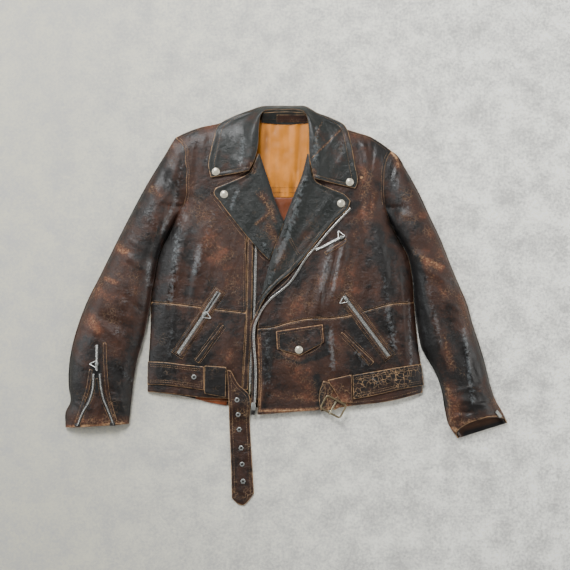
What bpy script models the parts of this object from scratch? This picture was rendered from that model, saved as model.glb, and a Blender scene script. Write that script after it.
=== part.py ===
"""A worn leather motorcycle jacket, laid on its back with the front open at the neck and the belt hanging.

Plan: +X runs to the viewer's right, +Y towards the collar and +Z up off the floor. The origin is on the
flat underside of the back panel. All sizes below are millimetres, turned to metres when a mesh is made.
Every panel is a wall of leather whose upper face is a height above the floor at each place of its plan.
"""

import math

import bpy
import numpy as np

MM = 0.001

# Leather and seams
WALL = 2.0  # one layer of leather
SEAM = 0.8  # between the cut edges of two panels
REST = 0.7  # between a layer and the panel it lies on
LINING_WALL = 1.0
STRAP_WALL = 2.8  # a belt is two layers

# How the jacket stands off the floor
SIDE_TOP = 5.6  # the front's upper face where it turns under at the sides and shoulders
CHEST_RISE = 14.0  # how far the fronts bow up between those edges
ROLL_REACH = 20.0  # how quickly the front bows up from its edges
HEM_DROP = 0.45  # the share of the rise that is lost at the hem
HEM_REACH = 70.0

# Grid steps
PANEL_STEP = 17.0
ARMHOLE_STEPS = 10  # shared by the body's edge and the sleeve's, so that their seam stays even
SIDE_STEPS = (ARMHOLE_STEPS, 13)
STRIP_STEP = 15.0

# Outlines of the body, from the shoulders down
SHOULDER_LEFT = [(-229, 309), (-208, 319), (-178, 330), (-141, 338), (-94, 353), (-57, 363)]
SHOULDER_RIGHT = [(223, 281), (200, 298), (178, 311), (153, 319), (124, 328), (84, 344), (50, 357)]
NECK_BACK = [(-57, 363), (-27, 363), (27, 363), (50, 357)]
ARMHOLE_LEFT = [(-229, 309), (-214, 294), (-208, 281), (-208, 262), (-205, 241), (-206, 214), (-206, 190),
                (-212, 168)]
ARMHOLE_RIGHT = [(223, 281), (214, 267), (208, 246), (206, 214), (206, 190), (210, 165)]
SIDE_LEFT_UPPER = [(-212, 168), (-227, 143), (-242, 111), (-257, 82), (-266, 56), (-272, 20), (-278, -10),
                   (-281, -36)]
SIDE_LEFT_LOWER = [(-281, -36), (-282, -94), (-286, -162), (-288, -223)]
SIDE_RIGHT_UPPER = [(210, 165), (220, 131), (241, 91), (254, 68), (262, 42), (267, 5), (270, -37)]
SIDE_RIGHT_LOWER = [(270, -37), (277, -116), (284, -168), (288, -225)]
SIDE_LEFT = SIDE_LEFT_UPPER + SIDE_LEFT_LOWER[1:]
SIDE_RIGHT = SIDE_RIGHT_UPPER + SIDE_RIGHT_LOWER[1:]
WAIST_LEFT = [(-281, -36), (-242, -39), (-200, -44), (-158, -50), (-116, -55), (-81, -59)]
WAIST_RIGHT = [(-57, -92), (-21, -88), (10, -79), (52, -71), (94, -70), (126, -66), (178, -52), (220, -41),
               (270, -37)]
HEM_LEFT = [(-288, -223), (-229, -228), (-178, -234), (-122, -237), (-91, -239)]
HEM_RIGHT = [(-57, -271), (-21, -268), (32, -264), (84, -260), (141, -252), (220, -242), (288, -225)]
HEM_BACK = [(-288, -223), (-200, -236), (-158, -246), (-120, -252), (0, -257), (141, -247), (220, -237),
            (288, -225)]
FRONT_EDGE_LEFT = [(-57, 363), (-63, 326), (-65, 284), (-62, 242), (-58, 200), (-60, 160), (-68, 132),
                   (-79, 103), (-81, 32), (-81, -59), (-85, -116), (-89, -189), (-91, -239)]
FRONT_EDGE_RIGHT = [(50, 357), (57, 315), (57, 267), (40, 210), (12, 145), (-13, 74), (-34, 0),
                    (-52, -60), (-57, -92), (-55, -136), (-54, -200), (-57, -271)]

# Sleeves
SLEEVE_LEFT_OUT = [(-229, 309), (-258, 262), (-288, 212), (-323, 147), (-357, 80), (-388, 17), (-414, -34),
                   (-433, -84), (-445, -126), (-452, -168), (-453, -210), (-450, -246), (-459, -265),
                   (-460, -298)]
SLEEVE_CLEAR = 1.6  # between a sleeve and the side that it lies along
SLEEVE_LEFT_IN = [(x - SLEEVE_CLEAR, y) for x, y in SIDE_LEFT_UPPER] + [
    (-289, -74), (-298, -116), (-310, -158), (-317, -200), (-322, -242), (-327, -290)]
SLEEVE_RIGHT_OUT = [(223, 281), (233, 273), (252, 244), (279, 195), (304, 141), (326, 94), (344, 48),
                    (363, 2), (380, -38), (393, -84), (407, -126), (420, -172), (430, -212), (443, -246),
                    (458, -271), (466, -288)]
SLEEVE_RIGHT_IN = [(x + SLEEVE_CLEAR, y) for x, y in SIDE_RIGHT_UPPER] + [
    (279, -98), (286, -132), (300, -158), (315, -184), (328, -222), (335, -265), (344, -295), (361, -321)]
SLEEVE_LEFT_HEIGHT = [(309, 20), (150, 34), (-30, 40), (-200, 34), (-298, 24)]  # place along Y and height
SLEEVE_RIGHT_HEIGHT = [(281, 20), (130, 36), (-30, 42), (-200, 42), (-310, 40)]
CUFF_LIP = 30.0  # how far the upper edge of the right cuff stands back from the lower one
SECTION_POWER = 2.4  # how square a sleeve's section is

# Collar, lapels and lining
COLLAR_RIBS = [  # the roll line and the outer edge, from the left tip round the neck to the right tip
    ((-75, 238), (-154, 225)), ((-66, 256), (-159, 250)), ((-59, 276), (-154, 280)),
    ((-56, 296), (-148, 305)),
    ((-55, 318), (-138, 335)), ((-54, 335), (-112, 351)), ((-52, 350), (-80, 364)), ((-46, 361), (-48, 375)),
    ((-28, 366), (-26, 376)), ((0, 366), (0, 376)), ((24, 366), (22, 376)), ((40, 361), (40, 376)),
    ((46, 350), (68, 361)), ((49, 332), (100, 348)), ((50, 310), (124, 334)), ((50, 290), (138, 290)),
    ((51, 265), (145, 250)), ((56, 242), (150, 212)), ((61, 222), (146, 202))]
ROLL_LEFT = [(-56, 270), (-44, 233), (-36, 210), (-23, 170), (-4, 126)]
LAPEL_LEFT_TOP = [(-56, 270), (-63, 254), (-72, 236), (-105, 218), (-144, 202)]
LAPEL_LEFT_OUT = [(-144, 202), (-148, 194), (-134, 172), (-109, 139), (-80, 103), (-52, 71), (-33, 52)]
LAPEL_LEFT_END = [(-4, 126), (-18, 88), (-33, 52)]
ROLL_RIGHT = [(49, 270), (38, 227), (23, 189), (-2, 124), (-27, 50), (-46, -15), (-58, -62)]
LAPEL_RIGHT_TOP = [(49, 270), (54, 240), (62, 218), (94, 201), (126, 186), (136, 175)]
LAPEL_RIGHT_OUT = [(136, 175), (132, 163), (105, 136), (67, 92), (32, 48), (15, 29), (-10, 8), (-36, -19),
                   (-50, -40), (-60, -64)]
LAPEL_LEVELS = (1.2, 2.2)  # clear room under the left and right lapels
LAPEL_ROLL = 5.0  # how far the roll stands above the rest of the lapel
COLLAR_LEVELS = (3.4, 2.4)  # clear room under a leaf near its roll and at its edge
COLLAR_ROLL = 10.0
COLLAR_WALL = 2.6
NECK_ROLL_TOP = 25.0  # the collar's highest line behind the neck
NECK_BAND_TOP = [(-46, 359), (0, 361), (40, 359)]
NECK_BAND_BOTTOM = [(-50, 340), (0, 336), (48, 339)]
NECK_BAND_LOW = 7.8  # its upper face at the lining
NECK_BAND_RISE = 12.0
LINING_SPLIT = 183.0  # where the gathered lining ends and the plain one starts
LINING_TOP = 346.0
LINING_FOOT = 110.0
LINING_FOLDS = 10
LINING_FOLD_HEIGHT = 1.4
LINING_TUCK = 8.0  # how far the lining runs in under the lapels
LINING_SIDE_LEFT = [(-54, 346), (-56, 280), (-36, 210), (-23, 170), (-4, 110)]  # where the roll shows it
LINING_SIDE_RIGHT = [(50, 346), (52, 270), (23, 189), (-2, 124), (-6, 110)]

# The fly: the underlap, the placket and the main zip
UNDERLAP_LEFT = [(-88, 100), (-88, 32), (-88, -60), (-92, -116), (-98, -189), (-99, -236)]
UNDERLAP_RIGHT = [(-12, 100), (-24, 32), (-40, -60), (-42, -116), (-42, -189), (-42, -240)]
UNDERLAP_SINK = 4.6  # its upper face below that of the fronts
PLACKET = [(-72, 103), (-73, 32), (-74, -32), (-77, -116), (-81, -178), (-83, -218)]
ZIP_LEFT = [(-60, 88), (-62, 32), (-63, -32), (-65, -90), (-69, -132), (-72, -178), (-73, -223)]
ZIP_RIGHT = [(137, 160), (109, 131), (84, 103), (63, 78), (46, 59), (34, 41), (23, 23), (10, 5), (-10, -13),
             (-32, -31), (-47, -50), (-56, -67), (-63, -84), (-65, -105), (-64, -130), (-62, -158),
             (-61, -189), (-62, -225), (-63, -246)]
ZIP_SLIDER_PLACE = (-66, -253.6)
TAPE_WIDTH = 9.0
TEETH_WIDTH = 6.0
TEETH_TOP = 3.0
TAPE_FACES = (0.6, 1.4)  # the tape's underside and top above what it lies on
PLACKET_WIDTH = 11.0
PLACKET_FACES = (-1.4, 0.6)  # its underside and top against the front's upper face

# Pockets: each zip from its upper end to its lower one
POCKET_LEFT = [(-138, -15), (-223, -143)]
POCKET_RIGHT = [(123, -23), (216, -148)]
CHEST_POCKET = [(122, 101), (101, 91), (80, 80)]
POCKET_WELT = 22.0
POCKET_SLOT = 9.0
POCKET_WELT_WALL = 1.6
CHEST_WELT = [(128, 94), (108, 80), (84, 66)]
DART_WIDTH = 9.0
DART_TOP = 1.8
DART_LEFT = [(-129, -84), (-184, -160)]
DART_RIGHT = [(118, -99), (182, -164)]
FLAP_TOP = [(-18, -97), (29, -90), (78, -83)]
FLAP_SIDE = 36.0
FLAP_POINT = 56.0
FLAP_WALL = 2.4

# Cuffs
CUFF_ZIP = [(-390, -124), (-391, -178)]
CUFF_ZIP_LEFT = [(-398, -184), (-400, -216), (-409, -244), (-421, -264), (-433, -293)]
CUFF_ZIP_RIGHT = [(-384, -184), (-382, -210), (-377, -236), (-367, -262), (-357, -291)]
GUSSET_LEFT = [(-393, -194), (-395, -216), (-404, -244), (-416, -264), (-427, -291)]
GUSSET_RIGHT = [(-389, -194), (-387, -212), (-382, -238), (-372, -264), (-362, -290)]
CUFF_ZIP_END = [(440, -262), (450, -274)]

# Zip sliders and their pulls
SLIDERS = {  # place, direction along the chain in degrees, and the side of it that the pull lies to
    "pocket_left": ((-168, -61), 56.5, -1), "pocket_right": ((127, -29), 126.6, 1),
    "chest_pocket": ((118, 99), 27.0, 1), "cuff": ((-390, -164), 90.0, 1)}
SLIDER_LENGTH = 6.0
SLIDER_WIDTH = 7.4
SLIDER_FOOT = 3.4  # its underside above the leather
BRIDGE_HOLE = 2.8
BRIDGE_WALL = 1.5
PULL_WIRE = 0.9  # radius
PULL_BASE = 15.0
PULL_LENGTH = 17.0
PULL_DROP = 5.0  # at most, from its hinge to its tip
PULL_CLEAR = 1.3  # under its tip
CHAIN_WIDTH = 7.0
CHAIN_TOP = 2.6  # above the panel

# Belt
BELT_LEFT_TOP = [(-287, -161), (-252, -162), (-210, -167), (-170, -171)]
BELT_LEFT_BOTTOM = [(-288, -208), (-252, -208), (-210, -213), (-170, -219)]
LOOP_LEFT = [(-167, -169), (-123, -172), (-125, -234), (-168, -226)]
TAIL_LEFT = [(-120, -178), (-118, -210), (-117, -242), (-116, -294), (-113, -368), (-111, -447)]
TAIL_RIGHT = [(-113, -180), (-98, -208), (-77, -228), (-75, -284), (-70, -368), (-66, -437)]
TAIL_POINT = 20.0
TAIL_LANDING = (-244, -296)  # where the hanging end leaves the hem and where it reaches the floor
BELT_RIGHT_TOP = [(142, -189), (189, -181), (242, -172), (285, -166)]
BELT_RIGHT_BOTTOM = [(144, -238), (189, -229), (242, -217), (290, -209)]
LOOP_RIGHT = [(90, -199), (138, -188), (140, -246), (119, -244)]
BUCKLE_PLACE = (101, -254)
BUCKLE_TURN = -28.0
BUCKLE_SIZE = (46.0, 30.0)
BUCKLE_BAR = 2.0
PRONG_LENGTH = 27.0
PRONG_WIDTH = 3.6
EYELETS = [(-190, -192), (-100, -240), (-98, -271), (-96, -303), (-92, -342), (-90, -376), (-88, -412)]
EYELET_OUTER = 5.0
EYELET_HOLE = 2.4
SNAP_RADIUS = 8.0
SNAPS = {"collar_left": (-144, 236), "collar_right": (135, 214), "lapel_left": (-127, 189),
         "lapel_right": (117, 170), "flap": (29, -135)}

# The largest folds of the fronts: start, end, half width and height (troughs are negative)
BODY_FOLDS = [
    ((-215, 150), (-235, -10), 16, 5.0), ((-170, 120), (-188, -10), 15, 4.0),
    ((-125, 90), (-135, -70), 14, 2.5), ((128, 92), (98, -30), 10, 6.0),
    ((88, 50), (66, -62), 12, 4.5), ((112, 70), (84, -30), 8, -3.0),
    ((190, 120), (214, -60), 18, 4.0), ((240, 20), (252, -120), 12, 4.0),
    ((60, -90), (70, -180), 10, 3.0), ((-40, -120), (-44, -230), 9, 3.0),
    ((-120, -90), (-116, -180), 12, 3.0), ((170, 260), (186, 170), 14, 3.0),
    ((-190, 290), (-186, 190), 12, -3.0), ((10, -140), (60, -225), 20, 2.5),
    ((150, 220), (170, 80), 12, -2.5)]
SLEEVE_LEFT_FOLDS = [
    ((-240, 120), (-268, 30), 9, 6.0), ((-268, 30), (-290, -60), 9, 5.0),
    ((-250, 230), (-215, 190), 9, -4.0), ((-330, 60), (-290, 30), 10, 3.5),
    ((-400, -60), (-330, -90), 14, -4.0), ((-380, 0), (-400, -120), 12, 3.0),
    ((-330, -140), (-345, -260), 10, 3.0)]
SLEEVE_RIGHT_FOLDS = [
    ((228, 200), (240, 130), 10, 4.0), ((240, 240), (222, 190), 7, -3.5),
    ((270, 60), (330, 10), 12, 4.0), ((300, -40), (318, -150), 11, 4.0),
    ((330, -60), (372, -160), 12, -3.5), ((362, -234), (420, -262), 9, 5.0),
    ((352, -262), (400, -285), 8, -4.0), ((340, -30), (385, -60), 10, 3.0)]

# Colours: red, green, blue as linear values, then roughness and metallic value
BROWN = ((0.045, 0.026, 0.020), 0.42, 0.0)
DARK = ((0.022, 0.022, 0.022), 0.38, 0.0)
STRAP = ((0.040, 0.024, 0.018), 0.55, 0.0)
SATIN = ((0.55, 0.25, 0.06), 0.35, 0.0)
RUST = ((0.26, 0.060, 0.014), 0.45, 0.0)
STEEL = ((0.60, 0.60, 0.58), 0.30, 1.0)
BRASS = ((0.45, 0.32, 0.14), 0.35, 1.0)
CAP = ((0.72, 0.69, 0.60), 0.32, 0.3)


def smooth_curve(points, count=None, step=PANEL_STEP):
    """A curve through the points, each stretch a cubic whose slope at a point follows its neighbours,
    cut again into equal lengths."""
    p = np.array(points, float)
    if len(p) == 2:
        fine = np.linspace(p[0], p[1], 40)
    else:
        along = np.concatenate([[0], np.cumsum(np.linalg.norm(np.diff(p, axis=0), axis=1))])
        slope = np.gradient(p, along, axis=0)
        t = np.linspace(0, along[-1], 40 * len(p))
        k = np.clip(np.searchsorted(along, t, side="right") - 1, 0, len(p) - 2)
        span = (along[k + 1] - along[k])[:, None]
        s = (t - along[k])[:, None] / span
        fine = ((2 * s**3 - 3 * s**2 + 1) * p[k] + (s**3 - 2 * s**2 + s) * span * slope[k]
                + (3 * s**2 - 2 * s**3) * p[k + 1] + (s**3 - s**2) * span * slope[k + 1])
    length = np.concatenate([[0], np.cumsum(np.linalg.norm(np.diff(fine, axis=0), axis=1))])
    if count is None:
        count = max(2, round(length[-1] / step))
    at = np.linspace(0, length[-1], count + 1)
    return np.stack([np.interp(at, length, fine[:, i]) for i in range(2)], axis=1)


def split_curve(points, corner, first, second):
    """Two curves that meet at a corner point, as one."""
    after = smooth_curve(points[corner:], second)[1:]
    return np.concatenate([smooth_curve(points[:corner + 1], first), after])


def fill_between(top, bottom, left, right):
    """A grid of plan points inside four edges, each point blended from the edges across from it."""
    u = np.linspace(0, 1, len(top))[None, :, None]
    v = np.linspace(0, 1, len(left))[:, None, None]
    down = (1 - v) * top[None] + v * bottom[None]
    across = (1 - u) * left[:, None] + u * right[:, None]
    corners = ((1 - u) * (1 - v) * left[0] + u * (1 - v) * right[0]
               + (1 - u) * v * left[-1] + u * v * right[-1])
    return down + across - corners


def ruled(first, second, count):
    """A grid of plan points on straight lines from one curve to the other."""
    v = np.linspace(0, 1, count + 1)[None, :, None]
    return first[:, None] * (1 - v) + second[:, None] * v


def line_distance(xy, line):
    """How far each plan point is from a chain of straight stretches."""
    a = np.array(line[:-1], float)
    b = np.array(line[1:], float)
    ab = b - a
    ap = xy[..., None, :] - a
    t = np.clip((ap * ab).sum(-1) / (ab * ab).sum(-1), 0, 1)
    return np.linalg.norm(ap - t[..., None] * ab, axis=-1).min(-1)


def ease(t):
    """From 0 to 1 with level ends."""
    t = np.clip(t, 0, 1)
    return t * t * (3 - 2 * t)


def fold_relief(xy, folds):
    """The sum of the folds: each a bell across its line, fading out towards both of its ends."""
    total = np.zeros(xy.shape[:-1])
    for start, end, width, height in folds:
        a = np.array(start, float)
        run = np.array(end, float) - a
        t = ((xy - a) @ run) / (run @ run)
        off = np.linalg.norm(xy - a - t[..., None] * run, axis=-1)
        fade = ease((t + 0.25) / 0.5) * ease((1.25 - t) / 0.5)
        total += height * fade * np.exp(-((off / width) ** 2))
    return total


def inside_body(xy):
    """Where a plan point lies within the shoulders and the sides."""
    x, y = xy[..., 0], xy[..., 1]
    shoulders = np.array(SHOULDER_LEFT + SHOULDER_RIGHT[::-1], float)
    left = np.array(SIDE_LEFT[::-1], float)
    right = np.array(SIDE_RIGHT[::-1], float)
    below = y <= np.interp(x, shoulders[:, 0], shoulders[:, 1])
    past_left = (y < left[-1, 1]) & (x < np.interp(y, left[:, 1], left[:, 0]))
    past_right = (y < right[-1, 1]) & (x > np.interp(y, right[:, 1], right[:, 0]))
    return below & ~past_left & ~past_right


def body_height(xy):
    """The upper face of the fronts: low at the sides and shoulders, bowed up between, with the folds."""
    lines = (SHOULDER_LEFT, SHOULDER_RIGHT, SIDE_LEFT, SIDE_RIGHT)
    edge = np.minimum.reduce([line_distance(xy, line) for line in lines])
    edge = np.where(inside_body(xy), edge, 0.0)
    bow = 1 - np.exp(-edge / ROLL_REACH)
    hem = np.minimum(line_distance(xy, HEM_LEFT), line_distance(xy, HEM_RIGHT))
    drop = 1 - HEM_DROP * np.exp(-((hem / HEM_REACH) ** 2))
    return SIDE_TOP + bow * (CHEST_RISE * drop + fold_relief(xy, BODY_FOLDS) * drop)


def sleeve_height(xy, outer, inner, armhole, heights, folds):
    """The upper face of a sleeve: a squarish arch between its edges, level with the body at the armhole."""
    out = line_distance(xy, outer)
    across = out / np.maximum(out + line_distance(xy, inner), 1e-6)
    y = np.array([h[0] for h in heights[::-1]], float)
    h = np.interp(xy[..., 1], y, [h[1] for h in heights[::-1]])
    arch = np.maximum(1 - np.abs(2 * across - 1) ** SECTION_POWER, 0) ** (1 / SECTION_POWER)
    own = (h + fold_relief(xy, folds)) * arch
    near = np.exp(-((line_distance(xy, armhole) / 30) ** 2))
    return (1 - near) * own + near * body_height(xy)


def left_sleeve_height(xy):
    return sleeve_height(xy, SLEEVE_LEFT_OUT, SLEEVE_LEFT_IN, ARMHOLE_LEFT, SLEEVE_LEFT_HEIGHT,
                         SLEEVE_LEFT_FOLDS)


def right_sleeve_height(xy):
    return sleeve_height(xy, SLEEVE_RIGHT_OUT, SLEEVE_RIGHT_IN, ARMHOLE_RIGHT, SLEEVE_RIGHT_HEIGHT,
                         SLEEVE_RIGHT_FOLDS)


def steepness(height, xy):
    """How much longer a step on the surface is than in plan, so that a wall is as thick on a slope."""
    d = 1.0
    dx = (height(xy + [d, 0]) - height(xy - [d, 0])) / (2 * d)
    dy = (height(xy + [0, d]) - height(xy - [0, d])) / (2 * d)
    return np.minimum(np.sqrt(1 + dx**2 + dy**2), 2.0)


def grid_steepness(plan, top):
    """The same for a grid of points, from its own neighbours."""
    p = np.concatenate([plan, top[..., None]], axis=-1)
    normal = np.cross(np.gradient(p, axis=0), np.gradient(p, axis=1))
    return np.minimum(np.linalg.norm(normal, axis=-1) / np.maximum(np.abs(normal[..., 2]), 1e-9), 2.5)


def material(name, finish):
    """A plain material of the piece's own colour."""
    colour, roughness, metallic = finish
    m = bpy.data.materials.new(name)
    m.use_nodes = True
    shader = m.node_tree.nodes["Principled BSDF"]
    shader.inputs["Base Color"].default_value = (*colour, 1)
    shader.inputs["Roughness"].default_value = roughness
    shader.inputs["Metallic"].default_value = metallic
    return m


def add_object(name, points, faces, finish, origin=(0, 0, 0)):
    """A mesh object from points in millimetres, its origin where asked, smooth but for its sharp edges."""
    mesh = bpy.data.meshes.new(name)
    place = np.array(origin, float)
    mesh.from_pydata(((np.array(points, float) - place) * MM).tolist(), [], faces)
    mesh.materials.append(material(name, finish))
    mesh.shade_smooth()
    mesh.set_sharp_from_angle(angle=math.radians(40))
    piece = bpy.data.objects.new(name, mesh)
    piece.location = place * MM
    bpy.context.scene.collection.objects.link(piece)
    return piece


def grid_faces(rows, columns, start=0, wrap=False):
    """Four-sided faces over a grid of points numbered row by row."""
    faces = []
    for r in range(rows - 1):
        for c in range(columns if wrap else columns - 1):
            d = (c + 1) % columns
            faces.append((start + r * columns + c, start + r * columns + d,
                          start + (r + 1) * columns + d, start + (r + 1) * columns + c))
    return faces


def slab(name, plan, top, bottom, finish):
    """A closed sheet between an upper and a lower height over one grid of plan points."""
    rows, columns = top.shape
    upper = np.concatenate([plan, top[..., None]], axis=-1).reshape(-1, 3)
    lower = np.concatenate([plan, bottom[..., None]], axis=-1).reshape(-1, 3)
    n = rows * columns
    faces = [f[::-1] for f in grid_faces(rows, columns)]
    faces += grid_faces(rows, columns, n)
    index = np.arange(n).reshape(rows, columns)
    rim = np.concatenate([index[0, :-1], index[:-1, -1], index[-1, :0:-1], index[:0:-1, 0]])
    for i, j in zip(rim, np.roll(rim, -1)):
        faces.append((int(i), int(j), int(j + n), int(i + n)))
    points = np.concatenate([upper, lower])
    return add_object(name, points, outward(points, faces), finish)


def layer(name, plan, height, level, wall, finish):
    """A sheet that lies on a surface, its underside the given clearance above it."""
    steep = steepness(height, plan)
    bottom = height(plan) + level * steep
    return slab(name, plan, bottom + wall * steep, bottom, finish)


def strip(name, path, section, height, finish):
    """A section of (across, up) corners carried along a plan path, each corner that far above the surface."""
    way = np.gradient(path, axis=0)
    way /= np.linalg.norm(way, axis=1)[:, None]
    side = np.stack([way[:, 1], -way[:, 0]], axis=1)
    section = np.array(section, float)
    rings = path[:, None] + side[:, None] * section[None, :, :1]
    z = height(rings) + section[None, :, 1] * steepness(height, rings)
    points = np.concatenate([rings, z[..., None]], axis=-1).reshape(-1, 3)
    n = len(section)
    faces = [f[::-1] for f in grid_faces(len(path), n, wrap=True)]
    faces.append(tuple(range(n)))
    faces.append(tuple(range((len(path) - 1) * n, len(path) * n))[::-1])
    return add_object(name, points, outward(points, faces), finish)


def lay_strip(name, line, section, height, finish, step=STRIP_STEP):
    """A strip along a curve through the points of a line."""
    strip(name, smooth_curve(line, step=step), section, height, finish)


def outward(points, faces):
    """The faces turned so that they enclose a positive volume."""
    p = np.array(points, float)
    volume = 0.0
    for f in faces:
        for i in range(1, len(f) - 1):
            volume += np.dot(p[f[0]], np.cross(p[f[i]], p[f[i + 1]]))
    return faces if volume > 0 else [tuple(f[::-1]) for f in faces]


def flat_section(width, bottom, top, shift=0.0):
    """A plain rectangular section."""
    h = width / 2
    return [(shift - h, bottom), (shift + h, bottom), (shift + h, top), (shift - h, top)]


def zip_right_section():
    """A zip's tape with its row of teeth along the edge at the viewer's left."""
    h = TEETH_WIDTH / 2
    low, high = TAPE_FACES
    end = TAPE_WIDTH - h
    return [(-h, low), (end, low), (end, high), (h, high), (h, TEETH_TOP), (-h, TEETH_TOP)]


def frame_ring(name, outer, inner, height, bottom, top, finish):
    """A flat frame between an outer and an inner outline of as many points."""
    loops = []
    for outline, z in ((outer, top), (inner, top), (inner, bottom), (outer, bottom)):
        up = height(outline) + z * steepness(height, outline)
        loops.append(np.concatenate([outline, up[:, None]], axis=1))
    n = len(outer)
    faces = [(a, b, b + n, a + n) if k < 3 else (a, b, b - 3 * n, a - 3 * n)
             for k in range(4) for a, b in ((k * n + i, k * n + (i + 1) % n) for i in range(n))]
    points = np.concatenate(loops)
    return add_object(name, points, outward(points, faces), finish)


def long_box(path, width, overrun, count):
    """A rectangle's outline round a straight line, with points along its long sides."""
    a, b = np.array(path[0], float), np.array(path[-1], float)
    way = (b - a) / np.linalg.norm(b - a)
    side = np.array([-way[1], way[0]]) * width / 2
    a, b = a - way * overrun, b + way * overrun
    t = np.linspace(0, 1, count + 1)[:, None]
    return np.concatenate([a + side + (b - a) * t, b - side + (a - b) * t])


def turned(name, place, profile, height, finish, sides=14):
    """A round piece standing at a place on a surface: a profile of (radius, up) from its middle underneath
    to its middle on top."""
    base = float(height(np.array(place, float)))
    points = [(place[0], place[1], base + profile[0][1])]
    angles = np.arange(sides) * 2 * math.pi / sides
    for radius, up in profile[1:-1]:
        points += [(place[0] + radius * math.cos(a), place[1] + radius * math.sin(a), base + up)
                   for a in angles]
    points.append((place[0], place[1], base + profile[-1][1]))
    rings = len(profile) - 2
    last = len(points) - 1
    faces = [(0, 1 + (i + 1) % sides, 1 + i) for i in range(sides)]
    faces += grid_faces(rings, sides, 1, wrap=True)
    top = 1 + (rings - 1) * sides
    faces += [(last, top + i, top + (i + 1) % sides) for i in range(sides)]
    return add_object(name, points, outward(points, faces), finish)


def eyelet(name, place, height, sides=10):
    """A flat metal ring pressed on the strap."""
    angles = np.arange(sides) * 2 * math.pi / sides
    turn = np.stack([np.cos(angles), np.sin(angles)], axis=1)
    base = float(height(np.array(place) + EYELET_OUTER * turn).max())
    rings = [(EYELET_OUTER, 0.4), (EYELET_OUTER, 1.0), (EYELET_HOLE, 1.5), (EYELET_HOLE, 0.4)]
    points = np.concatenate([
        np.column_stack([np.array(place) + turn * r, np.full(sides, base + z)]) for r, z in rings])
    faces = grid_faces(len(rings), sides, wrap=True)
    last = (len(rings) - 1) * sides
    faces += [(last + i, last + (i + 1) % sides, (i + 1) % sides, i) for i in range(sides)]
    return add_object(name, points, outward(points, faces), BRASS)


def wire_loop(name, loop, radius, finish, origin, sides=6):
    """A round wire bent along a closed loop of points in space."""
    p = np.array(loop, float)
    way = np.roll(p, -1, axis=0) - np.roll(p, 1, axis=0)
    way /= np.linalg.norm(way, axis=1)[:, None]
    up = np.cross(p[1] - p[0], p[len(p) // 2] - p[0])
    up /= np.linalg.norm(up)
    out = np.cross(way, up)
    angles = np.arange(sides) * 2 * math.pi / sides
    points = (p[:, None] + radius * (np.cos(angles)[None, :, None] * out[:, None]
                                     + np.sin(angles)[None, :, None] * up)).reshape(-1, 3)
    n = len(p)
    faces = []
    for i in range(n):
        for j in range(sides):
            k = (j + 1) % sides
            m = (i + 1) % n
            faces.append((i * sides + j, i * sides + k, m * sides + k, m * sides + j))
    return add_object(name, points, outward(points, faces), finish, origin)


def rounded_loop(corners, radius, steps=3):
    """A closed outline whose corners are rounded by arcs between its straight sides."""
    c = np.array(corners, float)
    loop = []
    for i in range(len(c)):
        before = c[i - 1] - c[i]
        after = c[(i + 1) % len(c)] - c[i]
        before /= np.linalg.norm(before)
        after /= np.linalg.norm(after)
        for t in np.linspace(0, 1, steps):
            loop.append(c[i] + radius * ((1 - t) ** 2 * before + t**2 * after))
    return np.array(loop)


def slider_with_pull(name, place, turn, side, height):
    """A zip slider with a bridge on top, and its three-cornered wire pull hanging in that bridge.

    The bridge is a square eye along the chain, and the pull's base wire runs through it on the hinge line.
    """
    place = np.array(place, float)
    way = np.array([math.cos(math.radians(turn)), math.sin(math.radians(turn))])
    across = np.array([-way[1], way[0]]) * side
    reach = np.array([[a, b] for a in (-1, 0, 1) for b in (-1, 0, 1)])
    foot = place + reach[:, :1] * way * SLIDER_LENGTH / 2 + reach[:, 1:] * across * SLIDER_WIDTH / 2
    ground = float(height(foot).max())
    axis_up = ground + SLIDER_FOOT + BRIDGE_WALL + BRIDGE_HOLE / 2
    outer = [(-SLIDER_WIDTH / 2, ground + SLIDER_FOOT), (SLIDER_WIDTH / 2, ground + SLIDER_FOOT),
             (BRIDGE_HOLE / 2 + BRIDGE_WALL, axis_up + BRIDGE_HOLE / 2 + BRIDGE_WALL),
             (-BRIDGE_HOLE / 2 - BRIDGE_WALL, axis_up + BRIDGE_HOLE / 2 + BRIDGE_WALL)]
    h = BRIDGE_HOLE / 2
    inner = [(-h, axis_up - h), (h, axis_up - h), (h, axis_up + h), (-h, axis_up + h)]
    points = []
    for end in (-SLIDER_LENGTH / 2, SLIDER_LENGTH / 2):
        for off, z in outer + inner:
            points.append((*(place + way * end + across * off), z))
    faces = []
    for i in range(4):
        j = (i + 1) % 4
        faces += [(i, j, 8 + j, 8 + i), (4 + j, 4 + i, 12 + i, 12 + j)]
        faces += [(j, i, 4 + i, 4 + j), (8 + i, 8 + j, 12 + j, 12 + i)]
    add_object(name + "_slider", points, outward(points, faces), STEEL)

    tip_ground = float(height(place + across * PULL_LENGTH))
    drop = min(max(axis_up - tip_ground - PULL_WIRE - PULL_CLEAR, 0.0), PULL_DROP)
    tilt = math.asin(drop / PULL_LENGTH)
    half = PULL_BASE / 2
    loop = []
    for s, r in rounded_loop([(-half, 0), (half, 0), (0, PULL_LENGTH)], 3.0):
        plan = place + way * s + across * r * math.cos(tilt)
        loop.append((*plan, axis_up - r * math.sin(tilt)))
    wire_loop(name + "_pull", loop, PULL_WIRE, STEEL, (*place, axis_up))


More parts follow.
